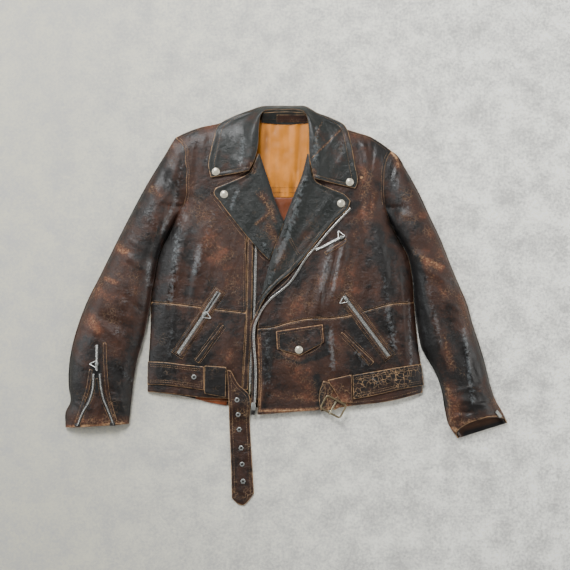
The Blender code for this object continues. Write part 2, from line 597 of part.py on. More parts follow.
def sleeve(name, outer, inner, armhole, height, lip, finish, rows=15, wall=WALL, start=0.0, inset=0.0):
    """A tube of leather lying on the floor: an arch over a flat underside, its own wall all round, open at
    both ends. A lip above zero sets the upper edge of the cuff back, so that the cuff stands open."""
    columns = ARMHOLE_STEPS
    top_edge = smooth_curve(armhole, columns)
    side_out = smooth_curve(outer, rows)
    side_in = smooth_curve(inner, rows)
    cuff = np.linspace(side_out[-1], side_in[-1], columns + 1)
    plan = fill_between(top_edge, cuff, side_out, side_in)
    first = round(start * rows)
    plan = plan[first:]
    way = plan[-1, columns // 2] - plan[-3, columns // 2]
    way /= np.linalg.norm(way)
    if first == 0:
        run = np.gradient(plan[0], axis=0)
        away = np.stack([run[:, 1], -run[:, 0]], axis=1) / np.linalg.norm(run, axis=1)[:, None]
        away *= np.sign((away * (plan[1] - plan[0])).sum())
        plan[0] += SEAM * away
    corner = 0.06
    walls = []
    for depth in (inset, inset + wall):
        rings = []
        for r, row in enumerate(plan):
            width = np.linalg.norm(row[-1] - row[0])
            u = np.linspace(0, 1, columns + 1)
            shrink = depth / width
            v = shrink + (1 - 2 * shrink) * u
            xy = np.stack([np.interp(v, u, row[:, i]) for i in range(2)], axis=1)
            z = height(row) - depth
            z[[0, -1]] = max(0.3 * float(height(row[columns // 2])), depth + 1.0, 3.0)
            under = np.linspace(1 - corner - shrink, corner + shrink, 6)
            foot = np.stack([np.interp(under, u, row[:, i]) for i in range(2)], axis=1)
            back = lip * ease((r - len(plan) + 4) / 3)
            xy = xy - way * back * (z / 40)[:, None]
            under = np.column_stack([foot, np.full(6, depth)])
            rings.append(np.concatenate([np.column_stack([xy, z]), under]))
        walls.append(np.array(rings))
    count = walls[0].shape[1]
    n = len(plan) * count
    faces = grid_faces(len(plan), count, wrap=True)
    faces += [f[::-1] for f in grid_faces(len(plan), count, n, wrap=True)]
    for j in range(count):
        k = (j + 1) % count
        end = (len(plan) - 1) * count
        faces += [(k, j, n + j, n + k), (end + j, end + k, n + end + k, n + end + j)]
    points = np.concatenate([w.reshape(-1, 3) for w in walls])
    return add_object(name, points, outward(points, faces), finish)


def back_panel():
    """The back lies flat on the floor, cut to the jacket's outline."""
    outline = np.concatenate([
        smooth_curve(SHOULDER_LEFT)[:-1], smooth_curve(NECK_BACK)[:-1],
        smooth_curve(SHOULDER_RIGHT)[::-1][:-1],
        smooth_curve(ARMHOLE_RIGHT, ARMHOLE_STEPS)[:-1], smooth_curve(SIDE_RIGHT)[:-1],
        smooth_curve(HEM_BACK)[::-1][:-1], smooth_curve(SIDE_LEFT)[::-1][:-1],
        smooth_curve(ARMHOLE_LEFT, ARMHOLE_STEPS)[::-1][:-1]])
    n = len(outline)
    points = [(x, y, z) for z in (0.0, WALL) for x, y in outline]
    faces = [tuple(range(n)), tuple(range(2 * n - 1, n - 1, -1))]
    faces += [((i + 1) % n, i, n + i, n + (i + 1) % n) for i in range(n)]
    add_object("back_panel", points, outward(points, faces), BROWN)


def front_panel(name, top, bottom, left, right):
    """A front: a bowed sheet whose sides come down onto the edge of the back panel."""
    plan = fill_between(top, bottom, left, right)
    up = body_height(plan)
    low = np.maximum(up - WALL * steepness(body_height, plan), WALL + REST)
    slab(name, plan, up, low, BROWN)


def fronts():
    """Each front is an upper and a lower panel joined at the waist seam."""
    waist_step = np.array([0, SEAM / 2])
    left_waist = smooth_curve(WAIST_LEFT)
    across = len(left_waist) - 1
    side = split_curve(ARMHOLE_LEFT + SIDE_LEFT_UPPER[1:], len(ARMHOLE_LEFT) - 1, *SIDE_STEPS)
    edge = smooth_curve(FRONT_EDGE_LEFT[:10], sum(SIDE_STEPS))
    front_panel("front_left_upper", smooth_curve(SHOULDER_LEFT, across), left_waist + waist_step, side, edge)
    front_panel("front_left_lower", left_waist - waist_step, smooth_curve(HEM_LEFT, across),
                smooth_curve(SIDE_LEFT_LOWER, 11), smooth_curve(FRONT_EDGE_LEFT[9:], 11))

    right_waist = smooth_curve(WAIST_RIGHT)
    across = len(right_waist) - 1
    side = split_curve(ARMHOLE_RIGHT + SIDE_RIGHT_UPPER[1:], len(ARMHOLE_RIGHT) - 1, *SIDE_STEPS)
    edge = smooth_curve(FRONT_EDGE_RIGHT[:9], sum(SIDE_STEPS))
    front_panel("front_right_upper", smooth_curve(SHOULDER_RIGHT[::-1], across), right_waist + waist_step,
                edge, side)
    front_panel("front_right_lower", right_waist - waist_step, smooth_curve(HEM_RIGHT, across),
                smooth_curve(FRONT_EDGE_RIGHT[8:], 11), smooth_curve(SIDE_RIGHT_LOWER, 11))


def underlap(plan):
    return body_height(plan) - UNDERLAP_SINK


def fly():
    """The underlap below the fronts' meeting edges, the placket beside the left one, and the main zip."""
    left = smooth_curve(UNDERLAP_LEFT)
    plan = ruled(left, smooth_curve(UNDERLAP_RIGHT, len(left) - 1), 4)
    top = underlap(plan)
    slab("underlap", plan, top, top - WALL * 0.8, BROWN)
    lay_strip("placket", PLACKET, flat_section(PLACKET_WIDTH, *PLACKET_FACES), body_height, BROWN)
    lay_strip("zip_left", ZIP_LEFT, zip_left_section(), underlap, STEEL)
    lay_strip("zip_right", ZIP_RIGHT, zip_right_section(), zip_right_height, STEEL, step=12.0)


def zip_left_section():
    """The left tape lies on the underlap, its teeth beside the placket."""
    h = TEETH_WIDTH / 2
    low, high = TAPE_FACES
    end = -h - 1.5
    top = UNDERLAP_SINK
    return [(end, low), (h, low), (h, top), (-h, top), (-h, high), (end, high)]


def zip_right_height(xy):
    """The right half of the zip rides over the left one where they cross below the waist."""
    y = xy[..., 1]
    return body_height(xy) + 4.2 * ease((-30 - y) / 40) - 2.0 * ease((-140 - y) / 40)


def lapel_grid(roll, top, outer, end, rows, columns):
    """A lapel's plan, its columns closer together at the roll."""
    plan = fill_between(smooth_curve(top, 60), smooth_curve(end, 60), smooth_curve(roll, rows),
                        smooth_curve(outer, rows))
    u = np.linspace(0, 1, columns + 1) ** 1.5
    at = np.linspace(0, 1, 61)
    return np.stack([np.stack([np.interp(u, at, row[:, i]) for i in range(2)], axis=1) for row in plan])


def lapel_height(xy, roll, level):
    """The upper face of a lapel: level with the front, raised along the roll."""
    away = line_distance(xy, smooth_curve(roll, 24))
    return body_height(xy) + level + WALL + LAPEL_ROLL * np.exp(-((away - 7) / 14) ** 2)


def lapel_left_height(xy):
    return lapel_height(xy, ROLL_LEFT, LAPEL_LEVELS[0])


def lapel_right_height(xy):
    return lapel_height(xy, ROLL_RIGHT, LAPEL_LEVELS[1])


def lapels():
    """Both fronts folded back from the roll line, each a leaf that lies on its front."""
    foot = [ROLL_RIGHT[-1], LAPEL_RIGHT_OUT[-1]]
    left = lapel_grid(ROLL_LEFT, LAPEL_LEFT_TOP, LAPEL_LEFT_OUT, LAPEL_LEFT_END, 9, 7)
    right = lapel_grid(ROLL_RIGHT, LAPEL_RIGHT_TOP, LAPEL_RIGHT_OUT, foot, 18, 6)
    for name, plan, height in (("lapel_left", left, lapel_left_height),
                               ("lapel_right", right, lapel_right_height)):
        up = height(plan)
        low = np.maximum(up - WALL * grid_steepness(plan, up), body_height(plan) + REST)
        slab(name, plan, up, np.minimum(low, up - WALL), DARK)


def collar_surface(columns=6):
    """The collar's plan and upper face: from the roll line, over its crest, out to the leaf's edge."""
    roll = smooth_curve([rib[0] for rib in COLLAR_RIBS], 400)
    outer = smooth_curve([rib[1] for rib in COLLAR_RIBS], 400)
    knots_in = curve_knots([rib[0] for rib in COLLAR_RIBS])
    knots_out = curve_knots([rib[1] for rib in COLLAR_RIBS])
    ribs = np.linspace(0, len(COLLAR_RIBS) - 1, 28)
    order = np.arange(len(COLLAR_RIBS))
    inner_at = np.interp(ribs, order, knots_in) * 400
    outer_at = np.interp(ribs, order, knots_out) * 400
    a = np.stack([np.interp(inner_at, np.arange(401), roll[:, i]) for i in range(2)], axis=1)
    b = np.stack([np.interp(outer_at, np.arange(401), outer[:, i]) for i in range(2)], axis=1)
    v = np.linspace(0, 1, columns + 1) ** 1.6
    plan = a[:, None] * (1 - v[None, :, None]) + b[:, None] * v[None, :, None]
    back = np.exp(-((ribs - (len(COLLAR_RIBS) - 1) / 2) / 3.4) ** 4)[:, None]
    level = COLLAR_LEVELS[0] + (COLLAR_LEVELS[1] - COLLAR_LEVELS[0]) * v[None, :]
    leaf = body_height(plan) + level + COLLAR_WALL
    crest = np.exp(-(((v - 0.12) / 0.22) ** 2))[None, :]
    over_leaf = leaf + COLLAR_ROLL * crest
    over_back = COLLAR_WALL + 1.0 + (NECK_ROLL_TOP - COLLAR_WALL - 1.0) * np.cos(v[None, :] * math.pi / 2)
    return plan, over_leaf * (1 - back) + over_back * back, back


def curve_knots(points):
    """How far along its curve each point lies, from 0 to 1."""
    p = np.array(points, float)
    along = np.concatenate([[0], np.cumsum(np.linalg.norm(np.diff(p, axis=0), axis=1))])
    return along / along[-1]


def collar():
    """The folded collar, one leaf from tip to tip that falls behind at the neck."""
    plan, up, back = collar_surface()
    low = up - COLLAR_WALL * grid_steepness(plan, up)
    ground = np.where(inside_body(plan), body_height(plan) + REST, 0.3)
    low = np.maximum(low, ground * (1 - back) + 0.3 * back)
    slab("collar", plan, up, np.minimum(low, up - COLLAR_WALL * 0.8), DARK)


def neck_band_height(xy):
    """The stand inside the collar rises from the lining to the roll."""
    return NECK_BAND_LOW + NECK_BAND_RISE * ease((xy[..., 1] - 336) / 30)


def neck_band():
    plan = ruled(smooth_curve(NECK_BAND_TOP, 8), smooth_curve(NECK_BAND_BOTTOM, 8), 3)
    up = neck_band_height(plan)
    slab("neck_band", plan, up, up - WALL * grid_steepness(plan, up), DARK)


def lining():
    """The inside of the back: a gathered satin yoke, and plain lining below it to the foot of the V."""
    left = np.array(LINING_SIDE_LEFT) - [LINING_TUCK, 0]
    right = np.array(LINING_SIDE_RIGHT) + [LINING_TUCK, 0]

    def sheet(name, y_top, y_foot, rows, columns, relief, finish):
        y = np.linspace(y_top, y_foot, rows + 1)
        a = np.interp(-y, -left[:, 1], left[:, 0])
        b = np.interp(-y, -right[:, 1], right[:, 0])
        u = np.linspace(0, 1, columns + 1)
        across = a[:, None] + (b - a)[:, None] * u[None]
        plan = np.stack([across, np.repeat(y[:, None], columns + 1, axis=1)], axis=-1)
        base = WALL + REST + relief(u)[None, :] * np.ones((rows + 1, 1))
        slab(name, plan, base + LINING_WALL, base, finish)

    def gathers(u):
        return LINING_FOLD_HEIGHT * (0.5 - 0.5 * np.cos(u * LINING_FOLDS * 2 * math.pi))

    sheet("lining_yoke", LINING_TOP, LINING_SPLIT + SEAM, 3, LINING_FOLDS * 4, gathers, SATIN)
    sheet("lining_back", LINING_SPLIT, LINING_FOOT, 3, 6, lambda u: 0 * u, RUST)


def pockets():
    """Two slanting hand pockets with a closed zip in a flat leather frame, and a chest pocket."""
    for name, line in (("pocket_left", POCKET_LEFT), ("pocket_right", POCKET_RIGHT)):
        outer = long_box(line, POCKET_WELT, 4.0, 9)
        inner = long_box(line, POCKET_SLOT, 0.5, 9)
        frame_ring(name + "_welt", outer, inner, body_height, REST, REST + POCKET_WELT_WALL, BROWN)
        lay_strip(name + "_zip", line, flat_section(CHAIN_WIDTH, REST, CHAIN_TOP), body_height, STEEL)
    chain = flat_section(CHAIN_WIDTH, REST, CHAIN_TOP)
    lay_strip("chest_pocket_zip", CHEST_POCKET, chain, body_height, STEEL)
    lay_strip("chest_pocket_welt", CHEST_WELT, flat_section(CHAIN_WIDTH, REST, DART_TOP), body_height, BROWN)
    for name, line in (("dart_left", DART_LEFT), ("dart_right", DART_RIGHT)):
        lay_strip(name, line, flat_section(DART_WIDTH, REST, DART_TOP), body_height, BROWN)
    for name in ("pocket_left", "pocket_right", "chest_pocket"):
        slider_with_pull(name, *SLIDERS[name], body_height)


def flap():
    """The small pocket's pointed flap, closed by a snap."""
    top = smooth_curve(FLAP_TOP, 8)
    u = np.linspace(-1, 1, 9)
    drop = FLAP_SIDE + (FLAP_POINT - FLAP_SIDE) * (1 - np.abs(u))
    bottom = top + np.stack([0 * u + 2.0, -drop], axis=1)
    layer("pocket_flap", ruled(top, bottom, 5), body_height, 1.5 * REST, FLAP_WALL, BROWN)


def snap(name, place, height, radius=SNAP_RADIUS):
    """A domed press stud's cap."""
    profile = [(0, 0.8), (radius, 0.8), (radius, 1.8), (radius * 0.72, 3.0), (0, 3.5)]
    turned(name, place, profile, height, CAP)


def snaps():
    plan, up, _ = collar_surface()

    def on_collar(xy):
        near = np.linalg.norm(plan - np.array(xy), axis=-1)
        return np.max(up[near < 16])

    def on_flap(xy):
        return body_height(xy) + REST + FLAP_WALL + 0.2

    surfaces = {"collar_left": on_collar, "collar_right": on_collar, "lapel_left": lapel_left_height,
                "lapel_right": lapel_right_height, "flap": on_flap}
    for name, place in SNAPS.items():
        snap("snap_" + name, place, surfaces[name])


def cuffs():
    """The left cuff's zip, open below its slider over a gusset, and the lining in the right cuff."""
    plan = ruled(smooth_curve(GUSSET_LEFT, 8), smooth_curve(GUSSET_RIGHT, 8), 4)
    layer("cuff_gusset", plan, left_sleeve_height, REST, 1.2, RUST)
    for name, line, width in (("cuff_zip", CUFF_ZIP, 8.0), ("cuff_zip_left", CUFF_ZIP_LEFT, 5.5),
                              ("cuff_zip_right", CUFF_ZIP_RIGHT, 5.5)):
        lay_strip(name, line, flat_section(width, REST, CHAIN_TOP), left_sleeve_height, STEEL)
    slider_with_pull("cuff", *SLIDERS["cuff"], left_sleeve_height)
    sleeve("cuff_lining_right", SLEEVE_RIGHT_OUT, SLEEVE_RIGHT_IN, ARMHOLE_RIGHT, right_sleeve_height,
           CUFF_LIP, SATIN, wall=LINING_WALL, start=0.83, inset=WALL + 4 * REST)
    lay_strip("cuff_zip_end_right", CUFF_ZIP_END, flat_section(8.0, REST, 3.2), right_sleeve_height, STEEL,
              step=8.0)


def belt_height(xy):
    """The upper face of the belt where it lies on the fronts."""
    return body_height(xy) + (REST + STRAP_WALL) * steepness(body_height, xy)


def tail_height(xy):
    """The underside of the belt's hanging end: off the hem and down onto the floor."""
    y = xy[..., 1]
    down = ease((TAIL_LANDING[0] - y) / (TAIL_LANDING[0] - TAIL_LANDING[1]))
    on_hem = body_height(np.stack([xy[..., 0], np.maximum(y, TAIL_LANDING[0])], axis=-1)) + 2 * REST
    return on_hem * (1 - down)


def belt():
    """The belt lies along the hem through a loop at each side, its left end hanging free."""
    for name, top, bottom in (("belt_left", BELT_LEFT_TOP, BELT_LEFT_BOTTOM),
                              ("belt_right", BELT_RIGHT_TOP, BELT_RIGHT_BOTTOM)):
        plan = ruled(smooth_curve(top, 10), smooth_curve(bottom, 10), 4)
        layer(name, plan, body_height, REST, STRAP_WALL, STRAP)
    for name, corners in (("belt_loop_left", LOOP_LEFT), ("belt_loop_right", LOOP_RIGHT)):
        c = np.array(corners, float)
        plan = ruled(np.linspace(c[0], c[1], 4), np.linspace(c[3], c[2], 4), 4)
        layer(name, plan, body_height, REST, STRAP_WALL, DARK if name.endswith("left") else STRAP)

    plan = ruled(smooth_curve(TAIL_LEFT, 20), smooth_curve(TAIL_RIGHT, 20), 4)
    plan[-1, :, 1] -= TAIL_POINT * (1 - np.abs(np.linspace(-1, 1, 5)))
    low = tail_height(plan)
    slab("belt_tail", plan, low + STRAP_WALL * grid_steepness(plan, low), low, STRAP)
    for i, place in enumerate(EYELETS):
        if i == 0:
            eyelet("eyelet_belt", place, belt_height)
        else:
            eyelet(f"eyelet_tail_{i}", place, lambda xy: tail_height(xy) + STRAP_WALL + 0.3)


def buckle():
    """The unfastened buckle: a round bar bent into a frame, with its prong hooked over one side."""
    turn = math.radians(BUCKLE_TURN)
    long_way = np.array([math.cos(turn), math.sin(turn)])
    short_way = np.array([-long_way[1], long_way[0]])
    place = np.array(BUCKLE_PLACE, float)
    length, width = BUCKLE_SIZE
    half = (length / 2, width / 2)
    corners = [(-half[0], -half[1]), (half[0], -half[1]), half, (-half[0], half[1])]
    flat = rounded_loop(corners, 6.0, 4)
    ground = max(float(body_height(place + long_way * a + short_way * b)) for a, b in corners)
    up = ground + REST + BUCKLE_BAR
    loop = [(*(place + long_way * a + short_way * b), up) for a, b in flat]
    wire_loop("buckle_frame", loop, BUCKLE_BAR, STEEL, (*place, up))

    hook = place - short_way * width / 2
    angles = np.radians(np.linspace(30, 330, 10))
    eye_out, eye_in = BUCKLE_BAR + 1.6, BUCKLE_BAR + 0.4
    outer = [(eye_out * math.cos(a), eye_out * math.sin(a)) for a in angles]
    outer += [(PRONG_LENGTH, -eye_in + 1.0), (PRONG_LENGTH, eye_in - 0.8)]
    inner_angles = np.concatenate([angles, np.radians([350, 370])])
    inner = [(eye_in * math.cos(a), eye_in * math.sin(a)) for a in inner_angles]
    points = []
    for end in (-PRONG_WIDTH / 2, PRONG_WIDTH / 2):
        for off, z in outer + inner:
            points.append((*(hook + long_way * end + short_way * off), up + z))
    n = len(outer)
    faces = []
    for i in range(n):
        j = (i + 1) % n
        faces += [(i, j, 2 * n + j, 2 * n + i), (n + j, n + i, 3 * n + i, 3 * n + j)]
        faces += [(j, i, n + i, n + j), (2 * n + i, 2 * n + j, 3 * n + j, 3 * n + i)]
    add_object("buckle_prong", points, outward(points, faces), STEEL, (*hook, up))


def zip_slider():
    """The main zip's slider and box at the foot of the fly."""
    place = np.array(ZIP_SLIDER_PLACE, float)
    path = np.linspace(place + [0, 7], place - [0, 7], 3)
    section = [(-4.5, 0.8), (4.5, 0.8), (4.5, 4.0), (2.5, 5.6), (-2.5, 5.6), (-4.5, 4.0)]
    strip("zip_slider", path, section, body_height, STEEL)


def main():
    for old in list(bpy.data.objects):
        bpy.data.objects.remove(old)
    back_panel()
    fronts()
    sleeve("sleeve_left", SLEEVE_LEFT_OUT, SLEEVE_LEFT_IN, ARMHOLE_LEFT, left_sleeve_height, 0.0, BROWN)
    sleeve("sleeve_right", SLEEVE_RIGHT_OUT, SLEEVE_RIGHT_IN, ARMHOLE_RIGHT, right_sleeve_height, CUFF_LIP,
           BROWN)
    collar()
    neck_band()
    lapels()
    lining()
    fly()
    zip_slider()
    pockets()
    flap()
    snaps()
    cuffs()
    belt()
    buckle()


main()
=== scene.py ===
"""Looks of a worn leather motorcycle jacket that lies on its back on a pale floor.

Leather panels, lining, zips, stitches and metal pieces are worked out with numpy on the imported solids' form:
each panel's upper face is a height above the floor at each place of its plan. Sizes are millimetres, made
metres when a mesh is made.
"""

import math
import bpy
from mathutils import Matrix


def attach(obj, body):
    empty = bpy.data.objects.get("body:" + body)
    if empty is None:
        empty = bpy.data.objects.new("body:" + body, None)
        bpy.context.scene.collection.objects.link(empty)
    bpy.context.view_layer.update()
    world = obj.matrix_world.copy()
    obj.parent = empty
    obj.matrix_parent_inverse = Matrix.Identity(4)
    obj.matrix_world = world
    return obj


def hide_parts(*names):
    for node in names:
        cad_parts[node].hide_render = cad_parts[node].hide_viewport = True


bl_info = {"name": "Worn leather jacket", "version": (1, 0, 0), "blender": (4, 5, 0),
    "location": "View3D > Sidebar > Jacket",
    "description": "Builds a worn leather jacket laid flat, and its stage", "category": "Object"}

import bpy
import numpy as np

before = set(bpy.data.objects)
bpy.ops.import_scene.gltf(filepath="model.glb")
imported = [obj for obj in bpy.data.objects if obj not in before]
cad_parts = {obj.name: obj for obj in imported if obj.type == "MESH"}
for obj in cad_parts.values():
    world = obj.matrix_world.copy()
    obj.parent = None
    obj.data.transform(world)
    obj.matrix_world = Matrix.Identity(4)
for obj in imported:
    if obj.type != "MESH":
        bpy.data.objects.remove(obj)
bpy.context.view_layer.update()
JACKET = "jacket"
MM = 0.001

# Leather and seams
WALL = 2.0  # one layer of leather
SEAM = 0.8  # between the cut edges of two panels
REST = 0.7  # between a layer and the panel it lies on
LINING_WALL = 1.0
STRAP_WALL = 2.8  # a belt is two layers

# How the jacket stands off the floor
SIDE_TOP = 5.6  # the front's upper face where it turns under at the sides and shoulders
CHEST_RISE = 14.0  # how far the fronts bow up between those edges
ROLL_REACH = 20.0  # how quickly the front bows up from its edges
HEM_DROP = 0.45  # the share of the rise that is lost at the hem
HEM_REACH = 70.0

# Outlines of the body, from the shoulders down
SHOULDER_LEFT = [(-229, 309), (-208, 319), (-178, 330), (-141, 338), (-94, 353), (-57, 363)]
SHOULDER_RIGHT = [(223, 281), (200, 298), (178, 311), (153, 319), (124, 328), (84, 344), (50, 357)]
ARMHOLE_LEFT = [(-229, 309), (-214, 294), (-208, 281), (-208, 262), (-205, 241), (-206, 214), (-206, 190),
    (-212, 168)]
ARMHOLE_RIGHT = [(223, 281), (214, 267), (208, 246), (206, 214), (206, 190), (210, 165)]
SIDE_LEFT_UPPER = [(-212, 168), (-227, 143), (-242, 111), (-257, 82), (-266, 56), (-272, 20), (-278, -10),
    (-281, -36)]
SIDE_LEFT_LOWER = [(-281, -36), (-282, -94), (-286, -162), (-288, -223)]
SIDE_RIGHT_UPPER = [(210, 165), (220, 131), (241, 91), (254, 68), (262, 42), (267, 5), (270, -37)]
SIDE_RIGHT_LOWER = [(270, -37), (277, -116), (284, -168), (288, -225)]
SIDE_LEFT = SIDE_LEFT_UPPER + SIDE_LEFT_LOWER[1:]
SIDE_RIGHT = SIDE_RIGHT_UPPER + SIDE_RIGHT_LOWER[1:]
BODY_EDGES = (SHOULDER_LEFT, SHOULDER_RIGHT, SIDE_LEFT, SIDE_RIGHT)
WAIST_LEFT = [(-281, -36), (-242, -39), (-200, -44), (-158, -50), (-116, -55), (-81, -59)]
WAIST_RIGHT = [(-57, -92), (-21, -88), (10, -79), (52, -71), (94, -70), (126, -66), (178, -52), (220, -41),
    (270, -37)]
HEM_LEFT = [(-288, -223), (-229, -228), (-178, -234), (-122, -237), (-91, -239)]
HEM_RIGHT = [(-57, -271), (-21, -268), (32, -264), (84, -260), (141, -252), (220, -242), (288, -225)]
FRONT_EDGE_LEFT = [(-57, 363), (-63, 326), (-65, 284), (-62, 242), (-58, 200), (-60, 160), (-68, 132), (-79,
    103), (-81, 32), (-81, -59), (-85, -116), (-89, -189), (-91, -239)]
FRONT_EDGE_RIGHT = [(50, 357), (57, 315), (57, 267), (40, 210), (12, 145), (-13, 74), (-34, 0), (-52, -60),
    (-57, -92), (-55, -136), (-54, -200), (-57, -271)]

# Sleeves
SLEEVE_LEFT_OUT = [(-229, 309), (-258, 262), (-288, 212), (-323, 147), (-357, 80), (-388, 17), (-414, -34),
    (-433, -84), (-445, -126), (-452, -168), (-453, -210), (-450, -246), (-459, -265), (-460, -298)]
SLEEVE_CLEAR = 1.6  # between a sleeve and the side that it lies along
SLEEVE_LEFT_IN = [(x - SLEEVE_CLEAR, y) for x, y in SIDE_LEFT_UPPER] + [(-289, -74), (-298, -116), (-310,
    -158), (-317, -200), (-322, -242), (-327, -290)]
SLEEVE_RIGHT_OUT = [(223, 281), (233, 273), (252, 244), (279, 195), (304, 141), (326, 94), (344, 48), (363,
    2), (380, -38), (393, -84), (407, -126), (420, -172), (430, -212), (443, -246), (458, -271), (466,
    -288)]
SLEEVE_RIGHT_IN = [(x + SLEEVE_CLEAR, y) for x, y in SIDE_RIGHT_UPPER] + [(279, -98), (286, -132), (300,
    -158), (315, -184), (328, -222), (335, -265), (344, -295), (361, -321)]
SLEEVE_LEFT_HEIGHT = [(309, 20), (150, 34), (-30, 40), (-200, 34), (-298, 24)]  # place along Y and height
SLEEVE_RIGHT_HEIGHT = [(281, 20), (130, 36), (-30, 42), (-200, 42), (-310, 40)]
CUFF_LIP = 30.0  # how far the upper edge of the right cuff stands back from the lower one
SECTION_POWER = 2.4  # how square a sleeve's section is

# Collar, lapels and lining
COLLAR_RIBS = [  # the roll line and the outer edge, from the left tip round the neck to the right tip
    ((-75, 238), (-154, 225)), ((-66, 256), (-159, 250)), ((-59, 276), (-154, 280)),
    ((-56, 296), (-148, 305)),
    ((-55, 318), (-138, 335)), ((-54, 335), (-112, 351)), ((-52, 350), (-80, 364)), ((-46, 361), (-48, 375)),
    ((-28, 366), (-26, 376)), ((0, 366), (0, 376)), ((24, 366), (22, 376)), ((40, 361), (40, 376)),
    ((46, 350), (68, 361)), ((49, 332), (100, 348)), ((50, 310), (124, 334)), ((50, 290), (138, 290)),
    ((51, 265), (145, 250)), ((56, 242), (150, 212)), ((61, 222), (146, 202))]
ROLL_LEFT = [(-56, 270), (-44, 233), (-36, 210), (-23, 170), (-4, 126)]
LAPEL_LEFT_TOP = [(-56, 270), (-63, 254), (-72, 236), (-105, 218), (-144, 202)]
LAPEL_LEFT_OUT = [(-144, 202), (-148, 194), (-134, 172), (-109, 139), (-80, 103), (-52, 71), (-33, 52)]
LAPEL_LEFT_END = [(-4, 126), (-18, 88), (-33, 52)]
ROLL_RIGHT = [(49, 270), (38, 227), (23, 189), (-2, 124), (-27, 50), (-46, -15), (-58, -62)]
LAPEL_RIGHT_TOP = [(49, 270), (54, 240), (62, 218), (94, 201), (126, 186), (136, 175)]
LAPEL_RIGHT_OUT = [(136, 175), (132, 163), (105, 136), (67, 92), (32, 48), (15, 29), (-10, 8), (-36, -19),
    (-50, -40), (-60, -64)]
LAPEL_LEVELS = (1.2, 2.2)  # clear room under the left and right lapels
LAPEL_ROLL = 5.0  # how far the roll stands above the rest of the lapel
COLLAR_LEVELS = (3.4, 2.4)  # clear room under a leaf near its roll and at its edge
COLLAR_ROLL = 10.0
COLLAR_WALL = 2.6
COLLAR_STEPS = 400  # along its curves before they are shared out
NECK_ROLL_TOP = 25.0  # the collar's highest line behind the neck
NECK_BAND_TOP = [(-46, 359), (0, 361), (40, 359)]
NECK_BAND_BOTTOM = [(-50, 340), (0, 336), (48, 339)]
NECK_BAND_LOW = 7.8  # its upper face at the lining
NECK_BAND_RISE = 12.0
LINING_SPLIT = 183.0  # where the gathered lining ends and the plain one starts
LINING_TOP = 346.0
LINING_FOOT = 110.0
LINING_TUCK = 8.0  # how far the lining runs in under the lapels
LINING_SIDE_LEFT = [(-54, 346), (-56, 280), (-36, 210), (-23, 170), (-4, 110)]  # where the roll shows it
LINING_SIDE_RIGHT = [(50, 346), (52, 270), (23, 189), (-2, 124), (-6, 110)]

# The fly: the underlap, the placket and the main zip
UNDERLAP_LEFT = [(-88, 100), (-88, 32), (-88, -60), (-92, -116), (-98, -189), (-99, -236)]
UNDERLAP_RIGHT = [(-12, 100), (-24, 32), (-40, -60), (-42, -116), (-42, -189), (-42, -240)]
UNDERLAP_SINK = 4.6  # its upper face below that of the fronts
PLACKET = [(-72, 103), (-73, 32), (-74, -32), (-77, -116), (-81, -178), (-83, -218)]
ZIP_LEFT = [(-60, 88), (-62, 32), (-63, -32), (-65, -90), (-69, -132), (-72, -178), (-73, -223)]
ZIP_RIGHT = [(137, 160), (109, 131), (84, 103), (63, 78), (46, 59), (34, 41), (23, 23), (10, 5), (-10, -13),
    (-32, -31), (-47, -50), (-56, -67), (-63, -84), (-65, -105), (-64, -130), (-62, -158), (-61, -189),
    (-62, -225), (-63, -246)]
ZIP_SLIDER_PLACE = (-66, -253.6)
TAPE_FACES = (0.6, 1.4)  # the tape's underside and top above what it lies on
PLACKET_WIDTH = 11.0
PLACKET_FACES = (-1.4, 0.6)  # its underside and top against the front's upper face

# Pockets: each zip from its upper end to its lower one
POCKET_LEFT = [(-138, -15), (-223, -143)]
POCKET_RIGHT = [(123, -23), (216, -148)]
CHEST_POCKET = [(122, 101), (101, 91), (80, 80)]
POCKET_WELT = 22.0
POCKET_SLOT = 9.0
CHEST_WELT = [(128, 94), (108, 80), (84, 66)]
DART_LEFT = [(-129, -84), (-184, -160)]
DART_RIGHT = [(118, -99), (182, -164)]
FLAP_TOP = [(-18, -97), (29, -90), (78, -83)]
FLAP_SIDE = 36.0
FLAP_POINT = 56.0
FLAP_WALL = 2.4

# Cuffs
CUFF_ZIP = [(-390, -124), (-391, -178)]
CUFF_ZIP_LEFT = [(-398, -184), (-400, -216), (-409, -244), (-421, -264), (-433, -293)]
CUFF_ZIP_RIGHT = [(-384, -184), (-382, -210), (-377, -236), (-367, -262), (-357, -291)]
GUSSET_LEFT = [(-393, -194), (-395, -216), (-404, -244), (-416, -264), (-427, -291)]
GUSSET_RIGHT = [(-389, -194), (-387, -212), (-382, -238), (-372, -264), (-362, -290)]
CUFF_ZIP_END = [(440, -262), (450, -274)]

# Zip sliders and their pulls
SLIDERS = {  # place, direction along the chain in degrees, and the side of it that the pull lies to
    "pocket_left": ((-168, -61), 56.5, -1), "pocket_right": ((127, -29), 126.6, 1),
    "chest_pocket": ((118, 99), 27, 1), "cuff": ((-390, -164), 90, 1)}
SLIDER_LENGTH = 6.0
SLIDER_WIDTH = 7.4
SLIDER_FOOT = 3.4  # its underside above the leather
BRIDGE_HOLE = 2.8
BRIDGE_WALL = 1.5
PULL_WIRE = 0.9  # radius
PULL_BASE = 15.0
PULL_LENGTH = 17.0
PULL_DROP = 5.0  # at most, from its hinge to its tip
PULL_CLEAR = 1.3  # under its tip

